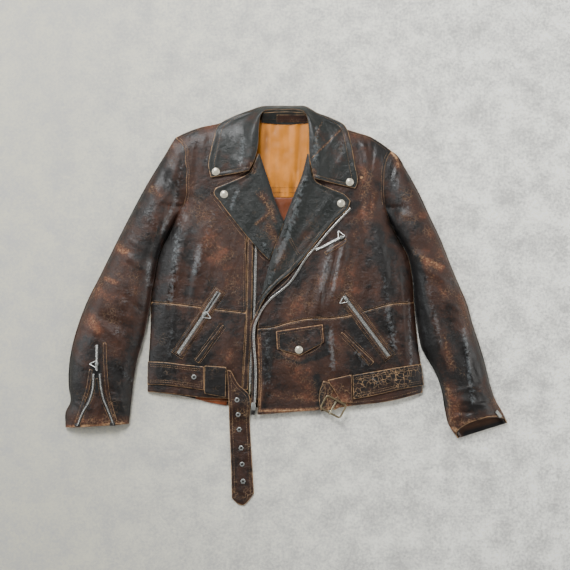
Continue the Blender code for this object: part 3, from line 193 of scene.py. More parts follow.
# Belt
BELT_LEFT_TOP = [(-287, -161), (-252, -162), (-210, -167), (-170, -171)]
BELT_LEFT_BOTTOM = [(-288, -208), (-252, -208), (-210, -213), (-170, -219)]
LOOP_LEFT = [(-167, -169), (-123, -172), (-125, -234), (-168, -226)]
TAIL_LEFT = [(-120, -178), (-118, -210), (-117, -242), (-116, -294), (-113, -368), (-111, -447)]
TAIL_RIGHT = [(-113, -180), (-98, -208), (-77, -228), (-75, -284), (-70, -368), (-66, -437)]
TAIL_POINT = 20.0
TAIL_LANDING = (-244, -296)  # where the hanging end leaves the hem and where it reaches the floor
BELT_RIGHT_TOP = [(142, -189), (189, -181), (242, -172), (285, -166)]
BELT_RIGHT_BOTTOM = [(144, -238), (189, -229), (242, -217), (290, -209)]
LOOP_RIGHT = [(90, -199), (138, -188), (140, -246), (119, -244)]
BUCKLE_PLACE = (101, -254)
BUCKLE_TURN = -28.0
BUCKLE_SIZE = (46, 30)
BUCKLE_BAR = 2.0
PRONG_LENGTH = 27.0
PRONG_WIDTH = 3.6
EYELETS = [(-190, -192), (-100, -240), (-98, -271), (-96, -303), (-92, -342), (-90, -376), (-88, -412)]
EYELET_OUTER = 5.0
EYELET_HOLE = 2.4
SNAPS = {"collar_left": (-144, 236), "collar_right": (135, 214), "lapel_left": (-127, 189),
    "lapel_right": (117, 170), "flap": (29, -135)}

# The largest folds: start, end, half width and height (troughs are negative)
BODY_FOLDS = [(-215, 150, -235, -10, 16, 5), (-170, 120, -188, -10, 15, 4), (-125, 90, -135, -70, 14,
    2.5), (128, 92, 98, -30, 10, 6), (88, 50, 66, -62, 12, 4.5), (112, 70, 84, -30, 8, -3), (190, 120,
    214, -60, 18, 4), (240, 20, 252, -120, 12, 4), (60, -90, 70, -180, 10, 3), (-40, -120, -44, -230,
    9, 3), (-120, -90, -116, -180, 12, 3), (170, 260, 186, 170, 14, 3), (-190, 290, -186, 190, 12,
    -3), (10, -140, 60, -225, 20, 2.5), (150, 220, 170, 80, 12, -2.5)]
SLEEVE_LEFT_FOLDS = [(-240, 120, -268, 30, 9, 6), (-268, 30, -290, -60, 9, 5), (-250, 230, -215, 190, 9,
    -4), (-330, 60, -290, 30, 10, 3.5), (-400, -60, -330, -90, 14, -4), (-380, 0, -400, -120, 12, 3),
    (-330, -140, -345, -260, 10, 3)]
SLEEVE_RIGHT_FOLDS = [(228, 200, 240, 130, 10, 4), (240, 240, 222, 190, 7, -3.5), (270, 60, 330, 10, 12,
    4), (300, -40, 318, -150, 11, 4), (330, -60, 372, -160, 12, -3.5), (362, -234, 420, -262, 9, 5),
    (352, -262, 400, -285, 8, -4), (340, -30, 385, -60, 10, 3)]

# Fine creases of the leather: start, end, half width and height (troughs are negative)
BODY_CREASES = [(-205, 110, -222, 20, 5, 1.6), (-196, 40, -206, -40, 4, -1.4), (-178, 70, -192, -30, 6,
    1.8), (-236, 60, -250, -60, 6, 1.6), (-150, 60, -166, -20, 5, 1.2), (-214, 165, -190, 120, 4, -1.6),
    (-206, 190, -176, 176, 4, -1.3), (-100, 60, -128, 0, 3, 0.9), (-118, 20, -80, -14, 3, -0.8), (-190, 300,
    -196, 230, 5, 1.2), (-168, 320, -176, 240, 5, 1), (129, 98, 106, 40, 4, 2.6), (106, 40, 97, -20, 4,
    2), (104, 60, 80, -40, 4, -1.5), (84, 40, 72, -40, 5, 2), (60, 20, 40, -60, 5, 1.2), (166, 300, 172,
    250, 5, 1.8), (186, 296, 180, 240, 4, -1.6), (160, 250, 178, 180, 4, 1.6), (176, 190, 186, 130, 4, 1.6),
    (150, 160, 160, 90, 5, 1), (196, 100, 216, 10, 6, 1.6), (232, 60, 246, -30, 6, 1.8), (216, -60, 226,
    -150, 6, 1.2), (120, -60, 134, -130, 5, 1.8), (84, -80, 96, -150, 5, 1.6), (92, -110, 96, -190, 7, 1.6),
    (-30, -90, -36, -200, 5, 1.4), (20, -180, 40, -240, 5, -1.2), (-140, -70, -126, -150, 5, 1.2), (-230,
    -60, -240, -150, 5, 1.4), (-206, -60, -214, -140, 4, -1.2), (-20, 20, 80, 12, 2, 0.7), (154, 308, 166,
    284, 3, 1.5), (168, 306, 176, 282, 3, -1.4), (160, -54, 176, -110, 4, 1.2), (246, -60, 252, -150, 5,
    1.4)]
SLEEVE_LEFT_CREASES = [(-222, 262, -250, 150, 7, 1.6), (-250, 240, -224, 200, 8, -1.2), (-266, 226, -234,
    178, 9, -1.4), (-280, 214, -250, 170, 9, 1), (-258, 100, -272, 40, 3, 1.8), (-270, 40, -284, -40, 7,
    2), (-290, 130, -262, 106, 4, -1), (-330, 100, -296, 76, 5, 1.2), (-350, 60, -300, 30, 4, -1),
    (-304, 20, -320, -70, 6, 1.6), (-340, -20, -300, -52, 5, -1.4), (-414, -50, -372, -86, 6, 1.8), (-430,
    -90, -380, -112, 5, -1.6), (-372, -86, -340, -120, 5, 1.6), (-440, -150, -416, -172, 5, 1.4), (-352,
    -196, -334, -270, 4, 1.8), (-372, -214, -344, -226, 3, -1.4), (-366, -236, -330, -246, 3, 1.6), (-360,
    -256, -334, -270, 3, -1.4), (-452, -240, -410, -258, 4, 1.6), (-446, -256, -424, -284, 4, 1.2), (-452,
    -110, -448, -200, 5, 1.2), (-420, -60, -450, -130, 5, -1.2)]
SLEEVE_RIGHT_CREASES = [(233, 262, 216, 214, 5, -1.8), (240, 236, 228, 190, 6, 1.2), (232, 150, 300, 130, 4,
    1.6), (250, 130, 306, 150, 3, -1.2), (264, 66, 312, 46, 4, 2), (276, 40, 336, 8, 5, 2.2), (250, 110,
    276, 30, 6, 2), (280, 20, 300, -80, 7, 2.2), (330, 90, 352, 10, 5, 1), (344, -40, 396, -80, 5, 1.4),
    (340, -70, 392, -110, 4, -1.2), (300, -60, 332, -180, 8, 2.2), (370, -120, 394, -210, 6, 1.8), (384,
    -160, 412, -226, 4, -1.6), (350, -222, 410, -206, 5, 2.6), (402, -208, 418, -236, 5, 2.2), (362, -250,
    424, -244, 4, -1.8), (356, -236, 374, -290, 4, 1.8), (390, -246, 404, -284, 4, 1.4), (334, -200, 352,
    -280, 5, 1.4), (420, -180, 440, -240, 4, 1.2)]

# Where the leather is rubbed to red-brown, and where its colour is darker, near black as painted shade past
# strength 1: start, end, half width and strength
BODY_SCUFFS = [(-214, 300, -190, 200, 16, 0.5), (-166, 150, -110, 0, 34, 0.5), (-110, 60, -100, -40, 18,
    0.5), (-150, -60, -112, -170, 22, 0.45), (166, 240, 166, 120, 16, 0.7), (186, 190, 178, 140, 9, 0.8),
    (150, 120, 110, -10, 26, 0.45), (190, 60, 200, -40, 16, 0.4), (20, -150, 60, -230, 34, 0.55), (-20,
    -230, 130, -244, 14, 0.7), (70, 20, 10, -60, 26, 0.4), (-56, -110, -52, -240, 6, 0.9), (-180, 330, -120,
    344, 10, 0.4), (150, 316, 200, 298, 8, 0.4), (120, -120, 60, -240, 18, 0.4), (-52, -263, 60, -261, 4,
    1.6), (60, -260, 130, -252, 4, 1.4), (-54, -120, -52, -262, 3, 1.45), (-232, -232, -130, -246, 3, 1.6),
    (158, 286, 168, 284, 1.6, 2.6), (158, 225, 161, 224, 1.6, 2.6), (160, 84, 163, 84, 1.6, 2.6), (-178,
    170, -150, 120, 22, 0.5), (-130, 130, -90, 90, 24, 0.5)]
# Body darks past 1 are painted shade, among them under the coin pocket's flap, along the right armhole and
# beside the buckle.
BODY_DARKS_AND_SHADE = [(-178, 190, -196, 60, 14, 0.7), (-236, 110, -262, -40, 20, 0.8), (-190, 60, -210, -120, 14,
    0.5), (-240, -60, -250, -200, 26, 0.8), (-150, -90, -190, -160, 16, 0.6), (196, 290, 214, 250, 14, 0.9),
    (190, 120, 214, -30, 16, 0.8), (120, -40, 150, -140, 20, 0.8), (210, -50, 240, -170, 26, 0.7), (140,
    -160, 180, -170, 14, 0.5), (60, 60, -20, -40, 20, 0.4), (-30, -110, -36, -190, 9, 0.6), (128, -70, 166,
    -124, 16, 1.15), (196, 300, 212, 262, 15, 1.2), (218, 200, 226, 120, 7, 1.5), (-232, 210, -240, 170, 9,
    0.9), (150, 296, 178, 230, 6, 0.7), (70, 120, 150, 170, 10, 0.7), (66, -192, 76, -256, 8, 1.7), (-16,
    -147, 31, -163, 4, 1.4), (31, -163, 88, -142, 4, 1.5), (88, -142, 88, -86, 3, 1.4)]
SLEEVE_SCUFFS = [(-346, 76, -326, 66, 12, 0.9), (-276, 200, -260, 186, 10, 0.6), (-390, -10, -360, -40, 26,
    0.6), (-400, -70, -390, -96, 12, 0.9), (-360, -130, -350, -160, 14, 0.4), (-372, 30, -300, 40, 18,
    0.35), (-300, 30, -320, -60, 14, 0.4), (-440, -280, -330, -288, 14, 0.8), (-236, 290, -218, 300, 8,
    0.6), (266, 56, 322, 36, 9, 1), (250, 140, 300, 150, 12, 0.6), (280, 60, 330, -20, 16, 0.6), (366,
    -20, 380, -90, 16, 0.7), (330, -100, 346, -170, 9, 0.7), (228, 282, 236, 250, 8, 0.9), (250, 200, 280,
    150, 20, 0.4), (300, 120, 350, 20, 14, 0.45), (340, -216, 350, -290, 14, 0.85), (352, -230, 372, -300,
    10, 0.8), (370, -286, 450, -276, 9, 1.2), (330, -230, 340, -300, 9, 0.7), (440, -240, 456, -270, 10,
    0.9), (380, -210, 410, -222, 8, 0.5), (338, -214, 346, -300, 8, 1), (352, -300, 384, -318, 6, 1.6),
    (350, -236, 362, -290, 6, 0.8), (222, 280, 234, 264, 4, 1.8), (280, 58, 330, 38, 4, 1.35), (-454, -296,
    -338, -288, 4, 1.6), (-346, 74, -330, 68, 7, 1.15), (-372, 14, -350, 4, 7, 0.95)]
# Sleeve darks past 1 are painted shade: along the sleeves' sides next to the body, at the top of the left
# cuff's zip and inside the right cuff.
SLEEVE_DARKS_AND_SHADE = [(-262, 250, -236, 190, 16, 0.8), (-290, 170, -300, 60, 22, 0.6), (-260, 150, -252, 110, 10,
    0.5), (-400, -130, -350, -190, 34, 0.7), (-448, -140, -440, -240, 12, 0.7), (-352, -160, -340, -260, 22,
    0.9), (220, 250, 224, 200, 8, 0.6), (300, 30, 312, -60, 12, 0.5), (360, -120, 400, -240, 24, 0.9), (386,
    -60, 410, -150, 12, 0.5), (300, -100, 318, -170, 12, 0.6), (214, 160, 232, 110, 7, 2), (232, 110, 264,
    50, 12, 2.4), (270, 50, 284, -60, 15, 2.6), (286, -60, 302, -150, 12, 2.2), (304, -150, 334, -250, 8,
    1.8), (-391, -176, -391, -214, 8, 2.6), (-262, 120, -272, 60, 4, 1.4), (380, -313, 458, -291, 10, 2.5)]
COLLAR_SCUFFS = [(84, 356, 64, 310, 3, 0.8), (84, 300, 60, 330, 2, 0.6), (-70, 250, -64, 236, 6, 0.9), (-52,
    190, -26, 150, 12, 0.9), (-60, 128, -36, 146, 4, 1), (-30, 120, -20, 90, 10, 0.8), (60, 240, 62, 224,
    5, 0.9), (30, 180, 10, 150, 6, 0.4), (-6, 60, -24, 30, 7, 0.6), (-120, 250, -150, 232, 6, 0.3), (36,
    110, 50, 90, 8, 0.4), (-90, 340, -60, 356, 6, 0.4), (118, 326, 54, 262, 1.5, 1.45), (-60, 130, -34, 148,
    2, 1.3), (-48, 186, -20, 132, 6, 1)]

# Where the finish is smoother and a highlight is painted into its colour: start, end, half width and strength
BODY_GLOSS_AND_HIGHLIGHT = [(-214, 160, -226, 100, 8, 0.6), (-226, 90, -238, -30, 9, 0.9), (-178, 78, -188, 26, 9, 1),
    (98, 90, 76, -10, 8, 1), (117, 76, 98, -20, 5, 1), (96, -94, 100, -176, 7, 1), (214, -46, 228,
    -130, 9, 0.9), (259, -30, 264, -170, 4, 0.9), (150, -140, 166, -164, 8, 0.7), (180, -184, 192, -206, 7,
    0.6), (-38, -100, -34, -230, 10, 0.5), (160, 180, 168, 130, 6, 0.35), (205, 20, 214, -30, 9, 0.5),
    (-150, 150, -160, 110, 9, 0.35), (-236, -80, -240, -150, 8, 0.5)]
SLEEVE_GLOSS_AND_HIGHLIGHT = [(-216, 250, -229, 178, 4, 0.6), (-229, 178, -256, 111, 5, 0.9), (-283, 48, -284, 0, 7, 0.9),
    (-346, -168, -315, -210, 8, 0.6), (-300, 150, -270, 130, 12, 0.35), (-330, -20, -350, -110, 9, 0.35),
    (372, -95, 388, -240, 7, 0.9), (225, 250, 228, 210, 6, 0.6), (330, 70, 352, 0, 10, 0.4), (294, 15, 321,
    -115, 6, 0.6), (246, 180, 262, 140, 9, 0.3)]
COLLAR_GLOSS_AND_HIGHLIGHT = [(-88, 300, -92, 254, 6, 1), (-100, 196, -112, 160, 5, 1), (-44, 88, -40, 70, 5, 0.8),
    (66, 326, 64, 262, 6, 1), (42, 220, 28, 176, 7, 0.7), (28, 176, 6, 105, 8, 1), (6, 105, -17, 50, 7,
    1.2), (-17, 50, -42, -30, 5, 0.7), (-100, 330, -110, 300, 7, 0.4), (104, 180, 80, 150, 8, 0.4), (120,
    300, 112, 260, 7, 0.3)]


def tint(name, use, colour):
    """A colour that a user may change."""
    return bpy.props.FloatVectorProperty(name=name, description=use, subtype="COLOR", default=colour, min=0,
        max=1)


def size(name, use, value, low, high):
    """A size that a user may change."""
    return bpy.props.FloatProperty(name=name, description=use, default=value, min=low, max=high)


class JacketSettings(bpy.types.PropertyGroup):
    """Sizes and colours that a user may change."""

    charcoal: tint("Charcoal", "Finish that is left on the leather", (0.0088, 0.0074, 0.0067))
    brown: tint("Brown", "Leather where its finish has thinned", (0.037, 0.0150, 0.0085))
    russet: tint("Russet", "Leather where its finish is rubbed off", (0.150, 0.049, 0.023))
    bare: tint("Bare leather", "Raw leather at cut edges and in cracks", (0.44, 0.265, 0.130))
    # Painted highlight colour: the leather's colour is mixed towards this pale blue-grey to stand in for
    # reflections on polished places.
    painted_highlight: tint("Polish", "Finish that age has polished", (0.27, 0.30, 0.31))
    satin: tint("Satin", "Lining of the yoke", (0.70, 0.235, 0.013))
    rust: tint("Rust", "Lining below the yoke", (0.27, 0.066, 0.017))
    metal: tint("Zip metal", "Teeth, sliders and pulls", (0.80, 0.80, 0.76))
    floor: tint("Floor", "Colour of the plain floor", (0.78, 0.765, 0.72))
    stitch_pitch: size("Stitch pitch", "From one stitch to the next, in millimetres", 3.6, 2, 8)
    stitch_length: size("Stitch length", "Length of one stitch, in millimetres", 2.7, 1, 6)
    tooth_pitch: size("Tooth pitch", "From one zip tooth to the next, in millimetres", 2.5, 1, 4)
    rumple: size("Rumple", "Height of the leather's small unevenness, in millimetres", 0.9, 0, 2)
    grid_step: size("Grid step", "Size of a panel's faces, in millimetres", 3.6, 2, 12)
    light: size("Light", "Power of the large soft light, in watts", 96, 0, 1000)


def settings():
    return bpy.context.scene.jacket


def along_path(path):
    """How far along a path each of its points lies."""
    return np.concatenate([[0], np.cumsum(np.linalg.norm(np.diff(path, axis=0), axis=1))])


def sample(values, length, at):
    """Rows of values read at places along a path."""
    return np.stack([np.interp(at, length, values[:, i]) for i in range(values.shape[1])], axis=1)


def curve(points, count=None, step=17):
    """A curve through the points, each stretch a cubic whose slope at a point follows its neighbours,
    cut again into equal lengths."""
    p = np.array(points, float)
    if len(p) == 2:
        fine = np.linspace(p[0], p[1], 40)
    else:
        along = along_path(p)
        slope = np.gradient(p, along, axis=0)
        t = np.linspace(0, along[-1], 40 * len(p))
        k = np.clip(np.searchsorted(along, t, side="right") - 1, 0, len(p) - 2)
        span = (along[k + 1] - along[k])[:, None]
        s = (t - along[k])[:, None] / span
        fine = ((2 * s**3 - 3 * s**2 + 1) * p[k] + (s**3 - 2 * s**2 + s) * span * slope[k]
                + (3 * s**2 - 2 * s**3) * p[k + 1] + (s**3 - s**2) * span * slope[k + 1])
    length = along_path(fine)
    if count is None:
        count = max(2, round(length[-1] / step))
    return sample(fine, length, np.linspace(0, length[-1], count + 1))


def split_curve(points, corner, first, second):
    """Two curves that meet at a corner point, as one."""
    after = curve(points[corner:], second)[1:]
    return np.concatenate([curve(points[:corner + 1], first), after])


def fill_between(top, bottom, left, right):
    """A grid of plan points inside four edges, each point blended from the edges across from it."""
    u = np.linspace(0, 1, len(top))[None, :, None]
    v = np.linspace(0, 1, len(left))[:, None, None]
    down = (1 - v) * top[None] + v * bottom[None]
    across = (1 - u) * left[:, None] + u * right[:, None]
    upper = (1 - u) * (1 - v) * left[0] + u * (1 - v) * right[0]
    lower = (1 - u) * v * left[-1] + u * v * right[-1]
    return down + across - (upper + lower)


def ruled(first, second, count):
    """A grid of plan points on straight lines from one curve to the other."""
    v = np.linspace(0, 1, count + 1)[None, :, None]
    return first[:, None] * (1 - v) + second[:, None] * v


def line_distance(xy, line):
    """How far each plan point is from a chain of straight stretches."""
    a = np.array(line[:-1], float)
    b = np.array(line[1:], float)
    ab = b - a
    ap = xy[..., None, :] - a
    t = np.clip((ap * ab).sum(-1) / (ab * ab).sum(-1), 0, 1)
    return np.linalg.norm(ap - t[..., None] * ab, axis=-1).min(-1)


def nearest(xy, lines):
    """How far each plan point is from the nearest of these lines."""
    return np.minimum.reduce([line_distance(xy, line) for line in lines])


def ease(t):
    """From 0 to 1 with level ends."""
    t = np.clip(t, 0, 1)
    return t * t * (3 - 2 * t)


def fold_relief(xy, folds):
    """The sum of the folds: each a bell across its line, fading out towards both of its ends."""
    total = np.zeros(xy.shape[:-1])
    for x, y, to_x, to_y, width, height in folds:
        a = np.array([x, y])
        run = np.array([to_x, to_y]) - a
        t = ((xy - a) @ run) / (run @ run)
        off = np.linalg.norm(xy - a - t[..., None] * run, axis=-1)
        fade = ease((t + 0.25) / 0.5) * ease((1.25 - t) / 0.5)
        total += height * fade * np.exp(-((off / width) ** 2))
    return total


def inside_body(xy):
    """Where a plan point lies within the shoulders and the sides."""
    x, y = xy[..., 0], xy[..., 1]
    shoulders = np.array(SHOULDER_LEFT + SHOULDER_RIGHT[::-1], float)
    left = np.array(SIDE_LEFT[::-1], float)
    right = np.array(SIDE_RIGHT[::-1], float)
    below = y <= np.interp(x, shoulders[:, 0], shoulders[:, 1])
    past_left = (y < left[-1, 1]) & (x < np.interp(y, left[:, 1], left[:, 0]))
    past_right = (y < right[-1, 1]) & (x > np.interp(y, right[:, 1], right[:, 0]))
    return below & ~past_left & ~past_right


def body_height(xy):
    """The upper face of the fronts: low at the sides and shoulders, bowed up between, with the folds."""
    edge = np.where(inside_body(xy), nearest(xy, BODY_EDGES), 0)
    bow = 1 - np.exp(-edge / ROLL_REACH)
    hem = nearest(xy, (HEM_LEFT, HEM_RIGHT))
    drop = 1 - HEM_DROP * np.exp(-((hem / HEM_REACH) ** 2))
    return SIDE_TOP + bow * (CHEST_RISE * drop + fold_relief(xy, BODY_FOLDS) * drop)


def sleeve_height(xy, outer, inner, armhole, heights, folds):
    """The upper face of a sleeve: a squarish arch between its edges, level with the body at the armhole."""
    out = line_distance(xy, outer)
    across = out / np.maximum(out + line_distance(xy, inner), 1e-6)
    y = np.array([h[0] for h in heights[::-1]], float)
    h = np.interp(xy[..., 1], y, [h[1] for h in heights[::-1]])
    arch = np.maximum(1 - np.abs(2 * across - 1) ** SECTION_POWER, 0) ** (1 / SECTION_POWER)
    own = (h + fold_relief(xy, folds)) * arch
    near = np.exp(-((line_distance(xy, armhole) / 30) ** 2))
    return (1 - near) * own + near * body_height(xy)


LEFT_SLEEVE = (SLEEVE_LEFT_OUT, SLEEVE_LEFT_IN, ARMHOLE_LEFT)
RIGHT_SLEEVE = (SLEEVE_RIGHT_OUT, SLEEVE_RIGHT_IN, ARMHOLE_RIGHT)


def left_sleeve_height(xy):
    return sleeve_height(xy, *LEFT_SLEEVE, SLEEVE_LEFT_HEIGHT, SLEEVE_LEFT_FOLDS)


def right_sleeve_height(xy):
    return sleeve_height(xy, *RIGHT_SLEEVE, SLEEVE_RIGHT_HEIGHT, SLEEVE_RIGHT_FOLDS)


def long_box(path, width, overrun, count):
    """A rectangle's outline round a straight line, with points along its long sides."""
    a, b = np.array(path[0], float), np.array(path[-1], float)
    way = (b - a) / np.linalg.norm(b - a)
    side = np.array([-way[1], way[0]]) * width / 2
    a, b = a - way * overrun, b + way * overrun
    t = np.linspace(0, 1, count + 1)[:, None]
    return np.concatenate([a + side + (b - a) * t, b - side + (a - b) * t])


def rounded_loop(corners, radius, steps=3):
    """A closed outline whose corners are rounded by arcs between its straight sides."""
    c = np.array(corners, float)
    loop = []
    for i in range(len(c)):
        before = c[i - 1] - c[i]
        after = c[(i + 1) % len(c)] - c[i]
        before /= np.linalg.norm(before)
        after /= np.linalg.norm(after)
        for t in np.linspace(0, 1, steps):
            loop.append(c[i] + radius * ((1 - t) ** 2 * before + t**2 * after))
    return np.array(loop)


def curve_knots(points):
    """How far along its curve each point lies, from 0 to 1."""
    along = along_path(np.array(points, float))
    return along / along[-1]


def neck_top(xy):
    """The stand inside the collar rises from the lining to the roll."""
    return NECK_BAND_LOW + NECK_BAND_RISE * ease((xy[..., 1] - 336) / 30)


def raised(plan, up):
    """Plan points with a height each, as points in space."""
    return np.concatenate([plan, up[..., None]], axis=-1)


def strip_plan(first, second, along, across):
    """A grid of plan points between two smooth curves."""
    return ruled(curve(first, along), curve(second, along), across)


def turns(count):
    """Even angles round a circle."""
    return np.linspace(0, 2 * np.pi, count, endpoint=False)


def flat_top(up):
    """A flat surface at one height."""
    return lambda xy: up + 0 * xy[..., 0]


def squared(wave, power):
    """A sine or cosine with flattened tops, for sections between an ellipse and a box."""
    return np.sign(wave) * np.abs(wave) ** power


def lattice_noise(xy, size, seed):
    """Smooth random heights from -1 to 1, eased between random values on a lattice of the given size."""
    lattice = np.random.default_rng(seed).uniform(-1, 1, (97, 97))
    place = xy / size
    cell = np.floor(place).astype(int)
    t = place - cell
    t = t * t * (3 - 2 * t)
    i, j = cell[..., 0] % 97, cell[..., 1] % 97
    k, m = (i + 1) % 97, (j + 1) % 97
    low = lattice[i, j] * (1 - t[..., 0]) + lattice[k, j] * t[..., 0]
    high = lattice[i, m] * (1 - t[..., 0]) + lattice[k, m] * t[..., 0]
    return low * (1 - t[..., 1]) + high * t[..., 1]


def crumple(xy, seed, along=(0, 1)):
    """Leather's unevenness, about -1 to 1: broad swells, and narrow ridges that run mostly one way."""
    way = np.array(along, float) / np.linalg.norm(along)
    side = np.array([way[1], -way[0]])
    warp = 9 * np.stack([lattice_noise(xy, 31, seed + 5), lattice_noise(xy, 31, seed + 6)], axis=-1)
    turned = np.stack([xy @ side, (xy @ way) * 0.45], axis=-1)
    swell = lattice_noise(turned, 27, seed)
    ridge = 1 - 2 * np.abs(lattice_noise(turned + warp, 14, seed + 1))
    small = 1 - 2 * np.abs(lattice_noise(turned + warp, 6.5, seed + 2))
    return 0.9 * swell + 0.4 * ridge + 0.18 * small


def marks(xy, strokes):
    """How strongly strokes cover each place, from 0: each a bell across its line, round at its ends."""
    total = np.zeros(xy.shape[:-1])
    for x, y, to_x, to_y, width, strength in strokes:
        a = np.array([x, y])
        run = np.array([to_x, to_y]) - a
        t = np.clip(((xy - a) @ run) / (run @ run), 0, 1)
        off = np.linalg.norm(xy - a - t[..., None] * run, axis=-1)
        total = np.maximum(total, strength * np.exp(-((off / width) ** 2)))
    return total


def front_top(xy):
    """The fronts' upper face with its fine creases, which fade at the sides and shoulders."""
    fade = 1 - np.exp(-nearest(xy, BODY_EDGES) / 8)
    fine = fold_relief(xy, BODY_CREASES) + settings().rumple * crumple(xy, 3)
    return body_height(xy) + fade * fine


def height_normals(height, xy):
    """Upward unit vectors of a height surface at plan places."""
    d = 0.8
    dx = (height(xy + [d, 0]) - height(xy - [d, 0])) / (2 * d)
    dy = (height(xy + [0, d]) - height(xy - [0, d])) / (2 * d)
    n = np.stack([-dx, -dy, np.ones_like(dx)], axis=-1)
    return n / np.linalg.norm(n, axis=-1, keepdims=True)


def grid_quads(rows, columns, start=0, wrap=False):
    """Four-sided faces over a grid of points numbered row by row, as an array."""
    r = np.arange(rows - 1)[:, None]
    c = np.arange(columns if wrap else columns - 1)[None]
    d = (c + 1) % columns
    corners = np.stack([r * columns + c, r * columns + d, (r + 1) * columns + d, (r + 1) * columns + c],
        axis=-1)
    return start + corners.reshape(-1, 4)


def unit(v):
    return v / np.maximum(np.linalg.norm(v, axis=-1, keepdims=True), 1e-9)


def enclosed(p, faces):
    """Six times the volume that triangles or four-sided faces enclose, with its sign."""
    total = 0.0
    for k in range(1, faces.shape[1] - 1):
        total += (p[faces[:, 0]] * np.cross(p[faces[:, k]], p[faces[:, k + 1]])).sum()
    return total


def make_piece(name, points, quads, kind, replaces=(), triangles=None, values=None, body=JACKET):
    """A mesh piece that rides on a body. Its faces are turned outwards by the volume that they enclose."""
    p = np.asarray(points, float)
    q = np.asarray(quads).reshape(-1, 4)
    t = np.zeros((0, 3), int) if triangles is None else np.asarray(triangles).reshape(-1, 3)
    if enclosed(p, q) + enclosed(p, t) < 0:
        q, t = q[:, ::-1], t[:, ::-1]
    mesh = bpy.data.meshes.new(name)
    mesh.from_pydata((p * MM).tolist(), [], q.tolist() + t.tolist())
    mesh.shade_smooth()
    mesh.set_sharp_from_angle(angle=math.radians(50))
    for key, value in (values or {}).items():
        mesh.attributes.new(key, "FLOAT", "POINT").data.foreach_set("value", np.asarray(value,
            np.float32).ravel())
    mesh.materials.append(finish(kind))
    piece = bpy.data.objects.new(name, mesh)
    bpy.context.scene.collection.objects.link(piece)
    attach(piece, body)
    if replaces:
        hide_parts(*replaces)
    return piece


def grid_normals(top):
    """Upward unit vectors of a grid of points, from its neighbours."""
    n = unit(np.cross(np.gradient(top, axis=0), np.gradient(top, axis=1)))
    return n * np.where(n[..., 2:3] < 0, -1, 1)


def shell(name, top, wall, kind, replaces=(), values=None, bulge=0.3, normals=None):
    """A closed sheet: the upper grid, the same grid moved down its normals by the wall, and a rounded rim.

    The rim follows a half ellipse from the upper border to the lower one. The attribute edge is 1 on the
    border and 0 inside.
    """
    rows, columns = top.shape[:2]
    n = rows * columns
    low = top - wall * (grid_normals(top) if normals is None else normals)
    index = np.arange(n).reshape(rows, columns)
    border = np.concatenate([index[0, :-1], index[:-1, -1], index[-1, :0:-1], index[:0:-1, 0]])
    upper, lower = top.reshape(-1, 3), low.reshape(-1, 3)
    t, b = upper[border], lower[border]
    nxt = np.roll(t, -1, axis=0)
    area = (t[:, 0] * nxt[:, 1] - nxt[:, 0] * t[:, 1]).sum()
    out = unit(np.cross(nxt - np.roll(t, 1, axis=0), t - b)) * np.sign(area)
    turn = np.pi * np.arange(1, 4)[:, None, None] / 4
    rim = (t + b) / 2 + (t - b) / 2 * np.cos(turn) + out * wall * bulge * np.sin(turn)
    m = len(border)
    rings = np.concatenate([border[None], 2 * n + np.arange(3 * m).reshape(3, m), border[None] + n])
    quads = [grid_quads(rows, columns)[:, ::-1], grid_quads(rows, columns, n)]
    for first, second in zip(rings[:-1], rings[1:]):
        quads.append(np.stack([first, np.roll(first, -1), np.roll(second, -1), second], axis=-1))
    points = np.concatenate([upper, lower, rim.reshape(-1, 3)])
    edge = np.zeros(n)
    edge[border] = 1
    painted = {"edge": np.concatenate([edge, edge, np.ones(3 * m)])}
    for key, value in (values or {}).items():
        flat = np.asarray(value, float).ravel()
        painted[key] = np.concatenate([flat, flat, np.tile(flat[border], 3)])
    return make_piece(name, points, np.concatenate(quads), kind, replaces, values=painted)


def sweep(name, rings, kind, replaces=(), closed=False, values=None, body=JACKET):
    """A solid from rings of points, joined one to the next; fans close its ends, or it joins itself."""
    steps, around = rings.shape[:2]
    points = rings.reshape(-1, 3)
    triangles = None
    if closed:
        quads = grid_quads(steps + 1, around, wrap=True) % (steps * around)
    else:
        quads = grid_quads(steps, around, wrap=True)
        i = np.arange(around)
        j = (i + 1) % around
        points = np.concatenate([points, rings[0].mean(0)[None], rings[-1].mean(0)[None]])
        end = (steps - 1) * around
        triangles = np.concatenate([np.stack([j, i, np.full(around, steps * around)], axis=-1),
            np.stack([end + i, end + j, np.full(around, steps * around + 1)], axis=-1)])
    return make_piece(name, points, quads, kind, replaces, triangles, values, body)


def round_wire(path, radius, sides=10, closed=False):
    """Rings of a round wire along a path in space."""
    p = np.asarray(path, float)
    way = unit(np.roll(p, -1, axis=0) - np.roll(p, 1, axis=0)) if closed else unit(np.gradient(p, axis=0))
    side = unit(np.cross(way, [0.02, 0.01, 1]))
    up = np.cross(side, way)
    a = turns(sides)
    turned = np.cos(a)[None, :, None] * side[:, None] + np.sin(a)[None, :, None] * up[:, None]
    return p[:, None] + radius * turned


def rightward(way):
    """Plan directions turned a quarter to the right."""
    return np.stack([way[:, 1], -way[:, 0]], axis=1)


def beside(line, offset, step=3):
    """A smooth curve through the points, moved sideways in plan."""
    p = curve(line, step=step)
    way = unit(np.gradient(p, axis=0))
    return p + offset * rightward(way)


def ribbon(name, line, width, low, high, height, kind, replaces=(), step=4, shift=0, values=None):
    """A flat strip along a curve, above what it lies on. Its width is one value, or one at each end."""
    p = beside(line, shift, step)
    way = unit(np.gradient(p, axis=0))
    side = rightward(way)
    wide = np.linspace(*(width if isinstance(width, tuple) else (width, width)), len(p)) - 0.6 * (high - low)
    plan = p[:, None] + side[:, None] * wide[:, None, None] * np.linspace(-0.5, 0.5, 6)[None, :, None]
    top = raised(plan, height(plan) + high)
    painted = values(plan) if values else None
    return shell(name, top, high - low, kind, replaces, painted)


